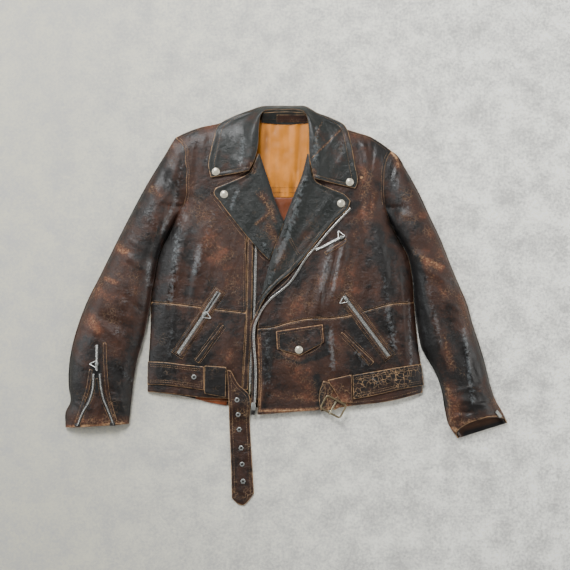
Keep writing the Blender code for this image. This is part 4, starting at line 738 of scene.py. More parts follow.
STITCH = np.array([[-0.5, 0, 0], [-0.36, -0.5, 0.1], [-0.36, 0, 0.8], [-0.36, 0.5, 0.1], [-0.36, 0, -0.3],
    [0.36, -0.5, 0.1], [0.36, 0, 0.8], [0.36, 0.5, 0.1], [0.36, 0, -0.3], [0.5, 0, 0]])
STITCH_QUADS = np.array([[1, 2, 6, 5], [2, 3, 7, 6], [3, 4, 8, 7], [4, 1, 5, 8]])
STITCH_FANS = np.array([[0, 2, 1], [0, 3, 2], [0, 4, 3], [0, 1, 4], [9, 5, 6], [9, 6, 7], [9, 7, 8], [9, 8,
    5]])


def stitches(name, rows, kind, thick=0.75):
    """Rows of thread stitches as one mesh: one small closed lozenge set at even steps along each path.

    A row is a path of points in space and the upward vectors there.
    """
    s = settings()
    centres, ways, ups = [], [], []
    for path, up in rows:
        length = along_path(path)
        at = np.arange(s.stitch_pitch / 2, length[-1], s.stitch_pitch)
        centres.append(sample(path, length, at))
        ways.append(sample(np.gradient(path, axis=0), length, at))
        ups.append(sample(up, length, at))
    c, w, u = np.concatenate(centres), unit(np.concatenate(ways)), unit(np.concatenate(ups))
    side = unit(np.cross(u, w))
    rng = np.random.default_rng(11)
    w = unit(w + rng.normal(0, 0.12, len(c))[:, None] * side)
    size = (s.stitch_length * rng.uniform(0.85, 1.1, len(c)))[:, None, None]
    points = (c[:, None] + STITCH[None, :, :1] * size * w[:, None] + STITCH[None, :, 1:2] * thick * side[:,
        None] + STITCH[None, :, 2:] * thick * u[:, None])
    start = (np.arange(len(c)) * len(STITCH))[:, None, None]
    return make_piece(name, points.reshape(-1, 3), (STITCH_QUADS[None] + start).reshape(-1, 4), kind,
        triangles=(STITCH_FANS[None] + start).reshape(-1, 3))


def row_on(line, height, offset=0, trim=(0, 0), lift=0.2):
    """A stitch row that runs beside a plan line on a surface."""
    plan = beside(line, offset, 2.5)
    length = along_path(plan)
    plan = plan[(length >= trim[0]) & (length <= length[-1] - trim[1])]
    return raised(plan, height(plan) + lift), height_normals(height, plan)


def teeth(name, rows, kind, replaces=(), size=(3.4, 1.25, 1.6)):
    """Zip teeth as one mesh: a chamfered block set at even steps along each path, its long side across it.

    A row is a plan line, the height surface, the lift of the teeth's middle, the sideways offset and start.
    """
    foot = ((-0.5, -0.5), (0.5, -0.5), (0.5, 0.5), (-0.5, 0.5))
    corner = np.array([[k * x, k * y, z] for z, k in ((-0.5, 1), (0.2, 1), (0.5, 0.66)) for x, y in foot])
    block = np.concatenate([grid_quads(3, 4, wrap=True), [[3, 2, 1, 0], [8, 9, 10, 11]]])
    pitch = settings().tooth_pitch
    points = []
    for line, height, lift, offset, phase in rows:
        plan = beside(line, offset, 2)
        length = along_path(plan)
        at = np.arange(pitch * phase, length[-1], pitch)
        xy = sample(plan, length, at)
        w = unit(sample(np.gradient(plan, axis=0), length, at))
        side = np.stack([w[:, 1], -w[:, 0], np.zeros(len(w))], axis=1)
        along = raised(w, np.zeros(len(w)))
        centre = raised(xy, height(xy) + lift)[:, None]
        for k, way in enumerate((side, along, np.array([[0, 0, 1]]))):
            centre = centre + corner[None, :, k:k + 1] * size[k] * way[:, None]
        points.append(centre)
    points = np.concatenate(points)
    quads = block[None] + (np.arange(len(points)) * len(corner))[:, None, None]
    return make_piece(name, points.reshape(-1, 3), quads.reshape(-1, 4), kind, replaces)


class Finish:
    """A material under construction: short calls that add a node, set its inputs and hand back its output."""

    def __init__(self, name):
        self.material = bpy.data.materials.new(name)
        self.material.use_nodes = True
        self.tree = self.material.node_tree
        self.shader = self.tree.nodes["Principled BSDF"]
        self.place = self.node("ShaderNodeTexCoord").outputs["Object"]

    def node(self, kind, **inputs):
        made = self.tree.nodes.new(kind)
        for key, value in inputs.items():
            self.set(made.inputs[key.replace("_", " ")], value)
        return made

    def set(self, socket, value):
        if isinstance(value, bpy.types.NodeSocket):
            self.tree.links.new(value, socket)
        else:
            socket.default_value = value

    def paint(self, socket, value):
        self.set(socket, value if isinstance(value, bpy.types.NodeSocket) else (*value, 1))

    def noise(self, scale, detail=4, roughness=0.6, at=None):
        made = self.node("ShaderNodeTexNoise", Vector=at or self.place, Scale=scale, Detail=detail,
            Roughness=roughness)
        return made.outputs["Fac"]

    def cells(self, scale, feature="F1", at=None):
        made = self.node("ShaderNodeTexVoronoi", Vector=at or self.place, Scale=scale)
        made.feature = feature
        return made.outputs["Distance"]

    def warped(self, scale, amount):
        """The object's own coordinates pushed about by a noise."""
        push = self.node("ShaderNodeTexNoise", Vector=self.place, Scale=scale, Detail=3).outputs["Color"]
        made = self.node("ShaderNodeVectorMath")
        made.operation = "MULTIPLY_ADD"
        self.set(made.inputs[0], push)
        made.inputs[1].default_value = (amount, amount, amount)
        self.set(made.inputs[2], self.place)
        return made.outputs["Vector"]

    def math(self, operation, a, b=0):
        made = self.node("ShaderNodeMath")
        made.operation = operation
        self.set(made.inputs[0], a)
        self.set(made.inputs[1], b)
        return made.outputs["Value"]

    def sum(self, *shares):
        """The sum of values, each times its share."""
        total = None
        for value, share in shares:
            part = value if share == 1.0 else self.math("MULTIPLY", value, share)
            total = part if total is None else self.math("ADD", total, part)
        return total

    def span(self, value, low, high, to_low=0, to_high=1):
        """A value's range mapped smoothly to another range."""
        made = self.node("ShaderNodeMapRange", Value=value, From_Min=low, From_Max=high, To_Min=to_low,
            To_Max=to_high)
        made.interpolation_type = "SMOOTHSTEP"
        return made.outputs["Result"]

    def mix(self, share, a, b):
        made = self.node("ShaderNodeMix")
        made.data_type = "RGBA"
        self.set(made.inputs["Factor"], share)
        self.paint(made.inputs[6], a)
        self.paint(made.inputs[7], b)
        return made.outputs[2]

    def painted(self, name):
        made = self.node("ShaderNodeAttribute")
        made.attribute_name = name
        return made.outputs["Fac"]

    def bump(self, height, strength, distance, after=None):
        made = self.node("ShaderNodeBump", Height=height, Strength=strength, Distance=distance)
        if after is not None:
            self.set(made.inputs["Normal"], after)
        return made.outputs["Normal"]

    def done(self, colour, roughness, normal=None, metallic=0, coat=0, coat_roughness=0.2, sheen=0):
        self.paint(self.shader.inputs["Base Color"], colour)
        values = {"Roughness": roughness, "Metallic": metallic, "Coat Weight": coat,
            "Coat Roughness": coat_roughness, "Sheen Weight": sheen}
        for key, value in values.items():
            self.set(self.shader.inputs[key], value)
        if normal is not None:
            self.set(self.shader.inputs["Normal"], normal)
        return self.material


def leather(name, wear=0, cracked=0, dark_tint=None):
    """Worn leather: charcoal over brown, rubbed to russet in blotches and strokes, bare at cut edges and in
    fine cracks, with a pebbled grain and wrinkles; smoother and lightened to a painted highlight where gloss
    strokes are painted, broken up by its wrinkles, darker where dark strokes are painted, near black as
    painted shade past 1."""
    s = settings()
    f = Finish(name)
    pushed = f.warped(38, 0.016)
    blotch = f.noise(42, 7, 0.66, at=pushed)
    speck = f.noise(230, 5, 0.7)
    wrinkle = f.noise(150, 5, 0.6, at=pushed)
    scuff, dark, edge, gloss = f.painted("scuff"), f.painted("dark"), f.painted("edge"), f.painted("gloss")
    tone = f.sum((f.noise(11, 5), 0.42), (blotch, 0.40), (speck, 0.18), (scuff, 0.15), (dark, -0.12))
    tone = f.math("ADD", tone, wear)
    colour = f.mix(f.span(tone, 0.43, 0.57), dark_tint or tuple(s.charcoal), tuple(s.brown))
    colour = f.mix(f.span(tone, 0.57, 0.74, 0, 0.85), colour, tuple(s.russet))
    net = f.cells(130.0 - 20.0 * cracked, "DISTANCE_TO_EDGE", at=f.warped(90, 0.010))
    crack = f.span(net, 0.010, 0.070 - 0.02 * cracked, 1, 0)
    worn = f.sum((f.noise(24, 4), 1), (scuff, 0.22))
    worn = f.span(worn, 0.56 - cracked * 0.16, 0.78 - cracked * 0.22)
    lines = f.math("MULTIPLY", crack, worn)
    colour = f.mix(f.math("MULTIPLY", lines, 0.25 + 0.6 * cracked), colour, tuple(s.bare))
    spot = f.span(f.sum((speck, 1), (scuff, 0.20)), 0.68, 0.80)
    colour = f.mix(f.math("MULTIPLY", spot, 0.3), colour, tuple(s.bare))
    fine = f.noise(420, 4, 0.65)
    # Painted highlight: the colour is lightened to a pale blue-grey where gloss strokes are painted, broken up
    # by the wrinkles.
    painted_highlight = f.span(f.sum((gloss, 0.85), (wrinkle, 2.4), (blotch, 1), (fine, 0.8)), 2.40, 3.25)
    colour = f.mix(f.math("MULTIPLY", painted_highlight, 0.30), colour, tuple(s.painted_highlight))
    through = f.span(f.sum((scuff, 1), (speck, 2.4), (blotch, 1.2)), 3, 3.5)
    colour = f.mix(f.math("MULTIPLY", through, 0.75), colour, tuple(s.bare))
    # Painted shade: where dark strokes pass strength 1 the colour goes near black.
    colour = f.mix(f.span(dark, 1, 2, 0, 0.92), colour, (0.002, 0.002, 0.002))
    rubbed = f.span(f.sum((edge, 1), (blotch, 0.6), (speck, 0.5)), 1.40, 1.58)
    colour = f.mix(f.math("MULTIPLY", rubbed, 0.8), colour, tuple(s.bare))
    rough = f.span(f.sum((blotch, 1), (scuff, 0.3), (gloss, -0.4)), 0.05, 0.85, 0.24, 0.66)
    normal = f.bump(f.cells(1050), 0.3, 0.00035)
    normal = f.bump(fine, 0.5, 0.0007, normal)
    normal = f.bump(wrinkle, 0.55, 0.0016, normal)
    normal = f.bump(f.noise(70, 5, 0.6, at=pushed), 0.6, 0.0030, normal)
    normal = f.bump(f.math("MULTIPLY", lines, -1), 0.5, 0.0008, normal)
    f.shader.inputs["Specular IOR Level"].default_value = 0.38
    return f.done(colour, rough, normal, coat=0.08, coat_roughness=0.2)


def satin(name, colour, worn=0.12):
    """Smooth woven lining with a soft sheen: fine threads and slightly uneven dye, darkened as painted shade
    where the dark value is painted.
    """
    f = Finish(name)
    blotch = f.noise(26, 4)
    thread = f.node("ShaderNodeTexWave", Vector=f.place, Scale=420, Distortion=0.6)
    shade = f.mix(f.span(blotch, 0.35, 0.75), tuple(c * (1 - 2 * worn) for c in colour), colour)
    # Painted shade: darker in the lining's fold troughs and where sleeve darks fall, near black past 1 inside
    # the right cuff.
    fold = f.painted("dark")
    shade = f.mix(f.span(fold, 0.40, 0.95, 0, 0.75), shade, tuple(0.34 * c for c in colour))
    shade = f.mix(f.span(fold, 1, 2), shade, (0.004, 0.004, 0.004))
    rough = f.span(blotch, 0.3, 0.7, 0.34, 0.5)
    return f.done(shade, rough, f.bump(thread.outputs["Fac"], 0.18, 0.0002), sheen=0.1)


def bare_metal(name, colour, tarnish, rough=0.24):
    """Old plated metal: bright with dull, darker patches and fine scratches."""
    f = Finish(name)
    patch = f.span(f.noise(260, 6, 0.7), 0.45, 0.75)
    shade = f.mix(f.math("MULTIPLY", patch, 0.5), colour, tarnish)
    scratch = f.noise(1500, 3)
    return f.done(shade, f.span(patch, 0, 1, rough, rough + 0.28), f.bump(scratch, 0.12, 0.0002),
        metallic=0.65)


def enamel(name, colour, worn):
    """A painted cap, a little chipped and dirty."""
    f = Finish(name)
    chip = f.span(f.noise(300, 5, 0.7), 0.60, 0.72)
    shade = f.mix(f.math("MULTIPLY", chip, 0.6), colour, worn)
    return f.done(shade, f.span(chip, 0, 1, 0.25, 0.5), metallic=0.35, coat=0.4)


def waxed_thread(name, colour):
    """Old sewing thread, unevenly dirty."""
    f = Finish(name)
    dirt = f.span(f.noise(70, 5, 0.7), 0.38, 0.68)
    return f.done(f.mix(dirt, tuple(c * 0.32 for c in colour), colour), 0.72)


FINISHES = {}


def finish(kind):
    """The jacket's finishes, each made once."""
    if kind not in FINISHES:
        s = settings()
        green_black = (0.0130, 0.0148, 0.0132)
        makers = {"body": (leather, "body_leather", 0.015), "sleeve": (leather, "sleeve_leather", 0.015),
            "collar": (leather, "collar_leather", -0.085, 0, green_black),
            "trim": (leather, "trim_leather", 0.03, 0.2), "belt": (leather, "strap_leather", 0.035, 0.5),
            "loop": (leather, "loop_leather", -0.06, 0.3),
            "cracked": (leather, "cracked_leather", -0.05, 1),
            "satin": (satin, "yoke_satin", tuple(s.satin)), "rust": (satin, "rust_cloth", tuple(s.rust), 0.2),
            "lining_brown": (satin, "cuff_cloth", (0.13, 0.055, 0.025), 0.3),
            "tape": (satin, "zip_tape", (0.020, 0.017, 0.015), 0.2),
            "steel": (bare_metal, "tooth_metal", tuple(s.metal), (0.22, 0.21, 0.19)),
            "dark_steel": (bare_metal, "slider_metal", (0.36, 0.37, 0.35), (0.10, 0.10, 0.09), 0.34),
            "old_brass": (bare_metal, "buckle_brass", (0.24, 0.19, 0.11), (0.05, 0.04, 0.03), 0.3),
            "brass": (bare_metal, "old_brass", (0.48, 0.42, 0.28), (0.13, 0.10, 0.06)),
            "cap": (enamel, "stud_enamel", (0.60, 0.55, 0.43), (0.28, 0.23, 0.16)),
            "thread": (waxed_thread, "tan_thread", (0.44, 0.27, 0.145)),
            "dark_thread": (waxed_thread, "brown_thread", (0.14, 0.080, 0.045))}
        maker, *values = makers[kind]
        FINISHES[kind] = maker(*values)
    return FINISHES[kind]


def painter(**strokes):
    """A function from plan places to how strongly each kind of painted stroke covers them."""
    return lambda xy: {kind: marks(xy, rows) for kind, rows in strokes.items()}


body_paint = painter(scuff=BODY_SCUFFS, dark=BODY_DARKS_AND_SHADE, gloss=BODY_GLOSS_AND_HIGHLIGHT)
sleeve_paint = painter(scuff=SLEEVE_SCUFFS, dark=SLEEVE_DARKS_AND_SHADE, gloss=SLEEVE_GLOSS_AND_HIGHLIGHT)
collar_paint = painter(scuff=COLLAR_SCUFFS, gloss=COLLAR_GLOSS_AND_HIGHLIGHT)


def flap_paint(xy):
    """The flap's leather: dark inside, worn through along its edges."""
    drop = [(-18, -97), (-15, -135), (31, -151), (81, -122), (78, -83)]
    rim = [(*a, *b, 2.2, 1.5) for a, b in zip(drop[:-1], drop[1:])] + [(*drop[0], *drop[-1], 1.6, 1.3)]
    return {"scuff": marks(xy, rim), "dark": 0.35 + 0 * xy[..., 0], "gloss": marks(xy, BODY_GLOSS_AND_HIGHLIGHT)}


def count(*lines):
    """How many grid steps fit the longest of these lines."""
    longest = max(along_path(curve(line))[-1] for line in lines)
    return max(6, round(longest / settings().grid_step))


def lay_panel(name, plan, height, wall, kind, replaces, paint, level=0):
    """A panel whose upper face lies on a height surface, its wall measured square to it."""
    return shell(name, raised(plan, height(plan) + level), wall, kind, replaces, paint(plan))


class JACKET_OT_fronts(bpy.types.Operator):
    """Builds the four front panels with their folds and creases"""

    bl_idname = "jacket.fronts"
    bl_label = "Fronts"

    def execute(self, context):
        waist = np.array([0, SEAM / 2])
        for side, armhole, upper, lower, edge, corner, shoulder, waist_line, hem in (
                ("left", ARMHOLE_LEFT, SIDE_LEFT_UPPER, SIDE_LEFT_LOWER, FRONT_EDGE_LEFT, 9, SHOULDER_LEFT,
                WAIST_LEFT, HEM_LEFT), ("right", ARMHOLE_RIGHT, SIDE_RIGHT_UPPER, SIDE_RIGHT_LOWER,
                FRONT_EDGE_RIGHT, 8, SHOULDER_RIGHT[::-1], WAIST_RIGHT, HEM_RIGHT)):
            flip = -1 if side == "right" else 1
            across = count(waist_line)
            seam = curve(waist_line, across)
            first, second = count(armhole), count(upper)
            outer = split_curve(armhole + upper[1:], len(armhole) - 1, first, second)
            sides = (outer, curve(edge[:corner + 1], first + second))[::flip]
            plan = fill_between(curve(shoulder, across), seam + waist, *sides)
            self.panel(f"{side}_front", plan, f"front_{side}_upper")
            down = count(lower)
            sides = (curve(lower, down), curve(edge[corner:], down))[::flip]
            plan = fill_between(seam - waist, curve(hem, across), *sides)
            self.panel(f"{side}_skirt", plan, f"front_{side}_lower")
        return {"FINISHED"}

    def panel(self, name, plan, node):
        piece = lay_panel(name, plan, front_top, WALL, "body", (node,), body_paint)


class JACKET_OT_back(bpy.types.Operator):
    """Gives the back panel, which lies on the floor, its leather"""

    bl_idname = "jacket.back"
    bl_label = "Back"

    def execute(self, context):
        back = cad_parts["back_panel"]
        back.data.materials.clear()
        back.data.materials.append(finish("body"))
        return {"FINISHED"}


ARCH_POINTS = 46
UNDER_POINTS = 14
SIDE_SHARE = 0.3  # a sleeve's sides stand to this share of its height
SIDE_LEAST = 3.0
UNDER_TUCK = 0.06  # how far its underside turns in, as a share of its width
LIP_TOP = 40.0  # the height at which the cuff's lip is whole


def sleeve_section(row, height, depth, lip, way):
    """One ring of a sleeve: an arch of the given heights, rounded sides, and a flat underside."""
    wall = depth / np.linalg.norm(row[-1] - row[0])
    at = np.linspace(0, 1, len(row))
    u = (1 - np.cos(np.linspace(0, np.pi, ARCH_POINTS))) / 2
    xy = sample(row, at, wall + (1 - 2 * wall) * u)
    z = height(xy)
    side = max(SIDE_SHARE * float(z[len(z) // 2]), SIDE_LEAST)
    z = np.maximum(z, side) - depth * np.where(z < side + depth, 0.3, 1)
    turn = np.linspace(0, np.pi / 2, 6)[1:]
    inset = UNDER_TUCK * (1 - np.cos(turn)) + wall
    flat = np.linspace(1 - inset[-1], inset[-1], UNDER_POINTS + 2)[1:-1]
    under = sample(row, at, np.concatenate([1 - inset, flat, inset[::-1]]))
    rise = (side - 0.3 * depth - depth) * (1 - np.sin(turn))
    low = depth + np.maximum(np.concatenate([rise, np.zeros(UNDER_POINTS), rise[::-1]]), 0)
    xy = xy - way * lip * (z / LIP_TOP)[:, None]
    return np.concatenate([raised(xy, z), raised(under, low)])


def sleeve_rings(outer, inner, armhole, height, lip, depth, start=0):
    """All rings of one wall of a sleeve, from the armhole to the cuff."""
    rows = count(outer)
    plan = fill_between(curve(armhole, 40), np.linspace(curve(outer)[-1],
        curve(inner)[-1], 41), curve(outer, rows), curve(inner, rows))
    way = unit(plan[-1, 20] - plan[-8, 20])
    run = np.gradient(plan[0], axis=0)
    away = unit(rightward(run))
    plan[0] += SEAM * away * np.sign((away * (plan[1] - plan[0])).sum())
    plan = plan[round(start * rows):]
    back = lip * ease((np.arange(len(plan)) - len(plan) + 24) / 23)
    return np.array([sleeve_section(row, height, depth, b, way) for row, b in zip(plan, back)])


def tube(name, walls, kind, replaces, paint):
    """A tube with a wall: its outer rings, its inner ones, and a rounded rim between them at each end."""
    outer, inner = walls
    rows, around = outer.shape[:2]
    n = rows * around
    points = [outer.reshape(-1, 3), inner.reshape(-1, 3)]
    quads = [grid_quads(rows, around, wrap=True), grid_quads(rows, around, n, wrap=True)[:, ::-1]]
    i = np.arange(around)
    for k, (end, sign) in enumerate(((0, 1), (rows - 1, -1))):
        beyond = unit(outer[end] - outer[end + sign])
        points.append((outer[end] + inner[end]) / 2 + 0.35 * WALL * beyond)
        loops = (end * around + i, 2 * n + k * around + i, n + end * around + i)
        for first, second in zip(loops[:-1], loops[1:]):
            ring = np.stack([first, second, np.roll(second, -1), np.roll(first, -1)], axis=-1)
            quads.append(ring if sign > 0 else ring[:, ::-1])
    points = np.concatenate(points)
    edge = np.zeros(len(points))
    edge[(rows - 1) * around:n] = 1
    edge[2 * n - around:2 * n] = 1
    edge[2 * n + around:] = 1
    values = {"edge": edge, **paint(points[:, :2])}
    return make_piece(name, points, np.concatenate(quads), kind, replaces, values=values)


def creased_sleeve(xy, form, creases, seed, way, edges):
    """A sleeve's upper face with its fine creases, which fade towards its two sides and its armhole."""
    fade = (1 - np.exp(-nearest(xy, edges[:2]) / 6)) * (1 - np.exp(-nearest(xy, edges[2:]) / 6))
    return form(xy) + (fold_relief(xy, creases) + settings().rumple * crumple(xy, seed, way)) * fade


def sleeve_left_top(xy):
    return creased_sleeve(xy, left_sleeve_height, SLEEVE_LEFT_CREASES, 21, (-0.4, -1), LEFT_SLEEVE)


def sleeve_right_top(xy):
    return creased_sleeve(xy, right_sleeve_height, SLEEVE_RIGHT_CREASES, 41, (0.4, -1), RIGHT_SLEEVE)


class JACKET_OT_sleeves(bpy.types.Operator):
    """Builds both sleeves as tubes that lie on the floor"""

    bl_idname = "jacket.sleeves"
    bl_label = "Sleeves"

    def execute(self, context):
        for name, edges, height, lip in (("left", LEFT_SLEEVE, sleeve_left_top, 0),
                ("right", RIGHT_SLEEVE, sleeve_right_top, CUFF_LIP)):
            walls = [sleeve_rings(*edges, height, lip, depth) for depth in (0, WALL)]
            piece = tube(f"{name}_sleeve", walls, "sleeve", (f"sleeve_{name}",), sleeve_paint)
        return {"FINISHED"}


def collar_line(side, at):
    """Points on the collar's roll line, side 0, or outer edge, side 1, by the rib that they lie beside."""
    line = [rib[side] for rib in COLLAR_RIBS]
    place = np.interp(at, np.arange(len(line)), curve_knots(line)) * COLLAR_STEPS
    return sample(curve(line, COLLAR_STEPS), np.arange(COLLAR_STEPS + 1), place)


def collar_surface(ribs, columns):
    """The collar's plan and upper face: from the roll line, over its crest, out to the leaf's edge."""
    last = len(COLLAR_RIBS) - 1
    at = np.linspace(0, last, ribs)
    v = np.linspace(0, 1, columns) ** 1.25
    roll, edge = collar_line(0, at), collar_line(1, at)
    plan = roll[:, None] * (1 - v[None, :, None]) + edge[:, None] * v[None, :, None]
    back = np.exp(-((at - last / 2) / 3.4) ** 4)[:, None]
    level = COLLAR_LEVELS[0] + (COLLAR_LEVELS[1] - COLLAR_LEVELS[0]) * v[None, :]
    leaf = body_height(plan) + level + COLLAR_WALL
    crest = np.exp(-(((v - 0.12) / 0.22) ** 2))[None, :]
    over_leaf = leaf + COLLAR_ROLL * crest
    over_back = COLLAR_WALL + 1.0 + (NECK_ROLL_TOP - COLLAR_WALL - 1) * np.cos(v[None, :] * math.pi / 2)
    fine = 0.8 * crumple(plan, 61, (0.6, 1)) + fold_relief(plan, COLLAR_CREASES)
    fine = fine * ease(v / 0.15)[None] * ease((1 - v) / 0.15)[None]
    edges = ([rib[1] for rib in COLLAR_RIBS], COLLAR_RIBS[0], COLLAR_RIBS[-1])
    fine = fine + seam_ridge(nearest(plan, edges))
    return plan, over_leaf * (1 - back) + over_back * back + fine * (1 - back)


def nose(top, radius):
    """The grid with a rounded edge added before its first column, turned down and back under."""
    first, second = top[:, 0], top[:, 1]
    out = unit(raised((first - second)[:, :2], np.zeros(len(top))))
    angles = np.radians(np.linspace(160, 20, 7))
    curl = [first + radius * (np.sin(a) * out + (np.cos(a) - 1) * np.array([0, 0, 1])) for a in angles]
    return np.concatenate([np.stack(curl, axis=1), top], axis=1)


def lapel_grid(roll, top, outer, end, rows, columns):
    """A lapel's plan, its columns closer together at the roll."""
    plan = fill_between(curve(top, 60), curve(end, 60), curve(roll, rows),
                        curve(outer, rows))
    u = np.linspace(0, 1, columns + 1) ** 1.2
    return np.stack([sample(row, np.linspace(0, 1, 61), u) for row in plan])


def lapel_height(xy, roll, level):
    """The upper face of a lapel: level with the front, raised along the roll."""
    away = line_distance(xy, curve(roll, 24))
    fine = 0.6 * crumple(xy, 77, (0.5, 1)) * ease((away - 4) / 20)
    lines = (LAPEL_LEFT_OUT, LAPEL_LEFT_TOP) if roll is ROLL_LEFT else (LAPEL_RIGHT_OUT, LAPEL_RIGHT_TOP)
    roll_swell = LAPEL_ROLL * np.exp(-(((away - 7) / 14) ** 2))
    return body_height(xy) + level + WALL + roll_swell + fine + seam_ridge(nearest(xy, lines))


def seam_ridge(inset):
    """The doubled edge stands a little higher than the leather inside its row of stitches."""
    return 0.9 * (1 - ease((inset - 4.5) / 2.5)) - 0.7 * np.exp(-((inset - 7.6) / 1.5) ** 2)


def lapel_left_top(xy):
    return lapel_height(xy, ROLL_LEFT, LAPEL_LEVELS[0]) + fold_relief(xy, LAPEL_CREASES)


def lapel_right_top(xy):
    return lapel_height(xy, ROLL_RIGHT, LAPEL_LEVELS[1]) + fold_relief(xy, LAPEL_CREASES)


COLLAR_CREASES = [(112, 322, 70, 250, 5, 1.6), (-130, 320, -104, 250, 6, 1.4), (-90, 340, -76, 280, 5,
    -1.2), (130, 280, 92, 230, 6, 1.2), (90, 320, 110, 240, 4, -1), (-140, 290, -146, 240, 4, 1)]
LAPEL_CREASES = [(-60, 128, -36, 146, 3, 1.6), (20, 48, 4, 18, 3, 1.8), (100, 190, 40, 110, 6, 1.2), (60,
    120, 10, 60, 5, -1.2), (-110, 200, -60, 140, 6, 1.2), (-80, 200, -40, 160, 5, -1)]


class JACKET_OT_collar(bpy.types.Operator):
    """Builds the collar, the lapels and the stand inside the neck"""

    bl_idname = "jacket.collar"
    bl_label = "Collar and lapels"

    def execute(self, context):
        plan, up = collar_surface(190, 30)
        piece = shell("collar_leaf", raised(plan, up), COLLAR_WALL, "collar", ("collar",),
            collar_paint(plan))
        foot = [ROLL_RIGHT[-1], LAPEL_RIGHT_OUT[-1]]
        for name, roll, edge, outer, end, height in (
                ("left", ROLL_LEFT, LAPEL_LEFT_TOP, LAPEL_LEFT_OUT, LAPEL_LEFT_END, lapel_left_top),
                ("right", ROLL_RIGHT, LAPEL_RIGHT_TOP, LAPEL_RIGHT_OUT, foot, lapel_right_top)):
            plan = lapel_grid(roll, edge, outer, end, count(roll), 30)
            top = nose(raised(plan, height(plan)), 3.4)
            piece = shell(f"{name}_lapel", top, WALL, "collar", (f"lapel_{name}",),
                collar_paint(top[..., :2]))
        plan = strip_plan(NECK_BAND_TOP, NECK_BAND_BOTTOM, 44, 12)
        up = neck_top(plan) + 0.5 * crumple(plan, 91)
        piece = shell("neck_stand", raised(plan, up), WALL, "collar", ("neck_band",),
            collar_paint(plan))
        u, v = np.meshgrid(np.linspace(-17, 47, 26), np.linspace(341, 355, 8))
        plan = np.stack([u, v], axis=-1)
        top = raised(plan, neck_top(plan) + 1.1)
        shell("neck_patch", top, 0.8, "trim", values=collar_paint(plan))
        return {"FINISHED"}


class JACKET_OT_lining(bpy.types.Operator):
    """Builds the gathered satin yoke and the plain lining below it"""

    bl_idname = "jacket.lining"
    bl_label = "Lining"

    def execute(self, context):
        left = np.array(LINING_SIDE_LEFT) - [LINING_TUCK, 0]
        right = np.array(LINING_SIDE_RIGHT) + [LINING_TUCK, 0]

        def sheet(name, y_top, y_foot, relief, kind, node):
            rows, columns = round((y_top - y_foot) / 2.6), 64
            y = np.linspace(y_top, y_foot, rows + 1)
            a = np.interp(-y, -left[:, 1], left[:, 0])
            b = np.interp(-y, -right[:, 1], right[:, 0])
            plan = ruled(np.stack([a, y], axis=1), np.stack([b, y], axis=1), columns)
            rise = relief(plan)
            # The dark value is highest in the gathers' troughs, where the satin is darkened as painted shade.
            low = 1 - (rise - rise.min()) / (rise.max() - rise.min())
            top = raised(plan, WALL + REST + LINING_WALL + rise)
            piece = shell(name, top, LINING_WALL, kind, (node,), {"dark": low})

        def gathers(plan):
            long_way = plan * np.array([1, 0.10]) + 3 * lattice_noise(plan, 40, 32)[..., None]
            wave = 0.5 + 0.5 * lattice_noise(long_way, 10, 31)
            small = 0.5 + 0.5 * lattice_noise(long_way * np.array([1, 2]), 4.6, 34)
            near = ease((plan[..., 1] - LINING_SPLIT - 2) / 60)
            large = 5.0 * wave * (0.45 + 0.55 * near)
            return large + 1.3 * small * (1 - 0.5 * near) + 0.3 * lattice_noise(plan, 12, 33)

        def plain(plan):
            return 0.9 + 0.6 * crumple(plan, 35)

        sheet("yoke_lining", LINING_TOP, LINING_SPLIT + SEAM, gathers, "satin", "lining_yoke")
        sheet("plain_lining", LINING_SPLIT, LINING_FOOT, plain, "rust", "lining_back")
        hem = [(-186, -232), (-160, -239), (-122, -246)]
        ribbon("hem_lining", hem, 14, 0.3, 1.2, flat_top(2), "rust")
        return {"FINISHED"}


def underlap_top(xy):
    return body_height(xy) - UNDERLAP_SINK + 0.3 * crumple(xy, 51)


def zip_right_top(xy):
    """The right half of the zip rides over the left one where they cross below the waist."""
    y = xy[..., 1]
    return front_top(xy) + 4.2 * ease((-30 - y) / 40) - 2.0 * ease((-140 - y) / 40)


class JACKET_OT_fly(bpy.types.Operator):
    """Builds the underlap, the placket and the main zip with its slider"""

    bl_idname = "jacket.fly"
    bl_label = "Fly and main zip"

    def execute(self, context):
        plan = strip_plan(UNDERLAP_LEFT, UNDERLAP_RIGHT, 90, 18)
        piece = lay_panel("fly_underlap", plan, underlap_top, WALL * 0.8, "body",
            ("underlap",), body_paint)
        ribbon("placket_strip", PLACKET, PLACKET_WIDTH, *PLACKET_FACES, front_top, "trim", ("placket",),
            values=body_paint)
        ribbon("zip_tape_left", ZIP_LEFT, 8.5, *TAPE_FACES, underlap_top, "tape",
            ("zip_left",), shift=1)
        ribbon("zip_tape_right", ZIP_RIGHT, 9.5, *TAPE_FACES, zip_right_top, "trim",
            ("zip_right",), shift=2.6, values=body_paint)
        rows = [(ZIP_LEFT, underlap_top, 2.9, 0, 0.5), (ZIP_RIGHT, zip_right_top, 2, 0, 0.5)]
        teeth("main_zip_teeth", rows, "steel", size=(4.6, 1.35, 2.2))
        pin = np.linspace((-72.5, -206), (-74, -229), 8)
        pin = round_wire(raised(pin, underlap_top(pin) + 3.6), 1.6)
        sweep("zip_pin", pin, "brass")
        place = np.array(ZIP_SLIDER_PLACE)
        ground = float(front_top(place + [0, 5]))
        a = turns(20)
        rings = []
        for along, half in ((-8, 2.6), (-7, 4), (-3, 4.6), (1, 4.9), (5, 3.9), (7.4, 2.4)):
            x = half * squared(np.cos(a), 0.5)
            z = 2.4 * squared(np.sin(a), 0.5) * (0.7 + 0.3 * half / 5)
            rings.append(np.column_stack([place[0] + x, np.full(20, place[1] - along), ground + 3.4 + z]))
        sweep("main_zip_slider", np.array(rings), "dark_steel", ("zip_slider",))
        ribbon("zip_tape_end", [(-66, -262), (-67, -271)], 8, 0.6, 1.8, front_top, "tape")
        return {"FINISHED"}


FLAP_LIFT = 1.2  # the coin pocket's flap stands off the front
FLAP_LEVEL = 1.5 * REST + FLAP_WALL + FLAP_LIFT  # its upper face above the front's


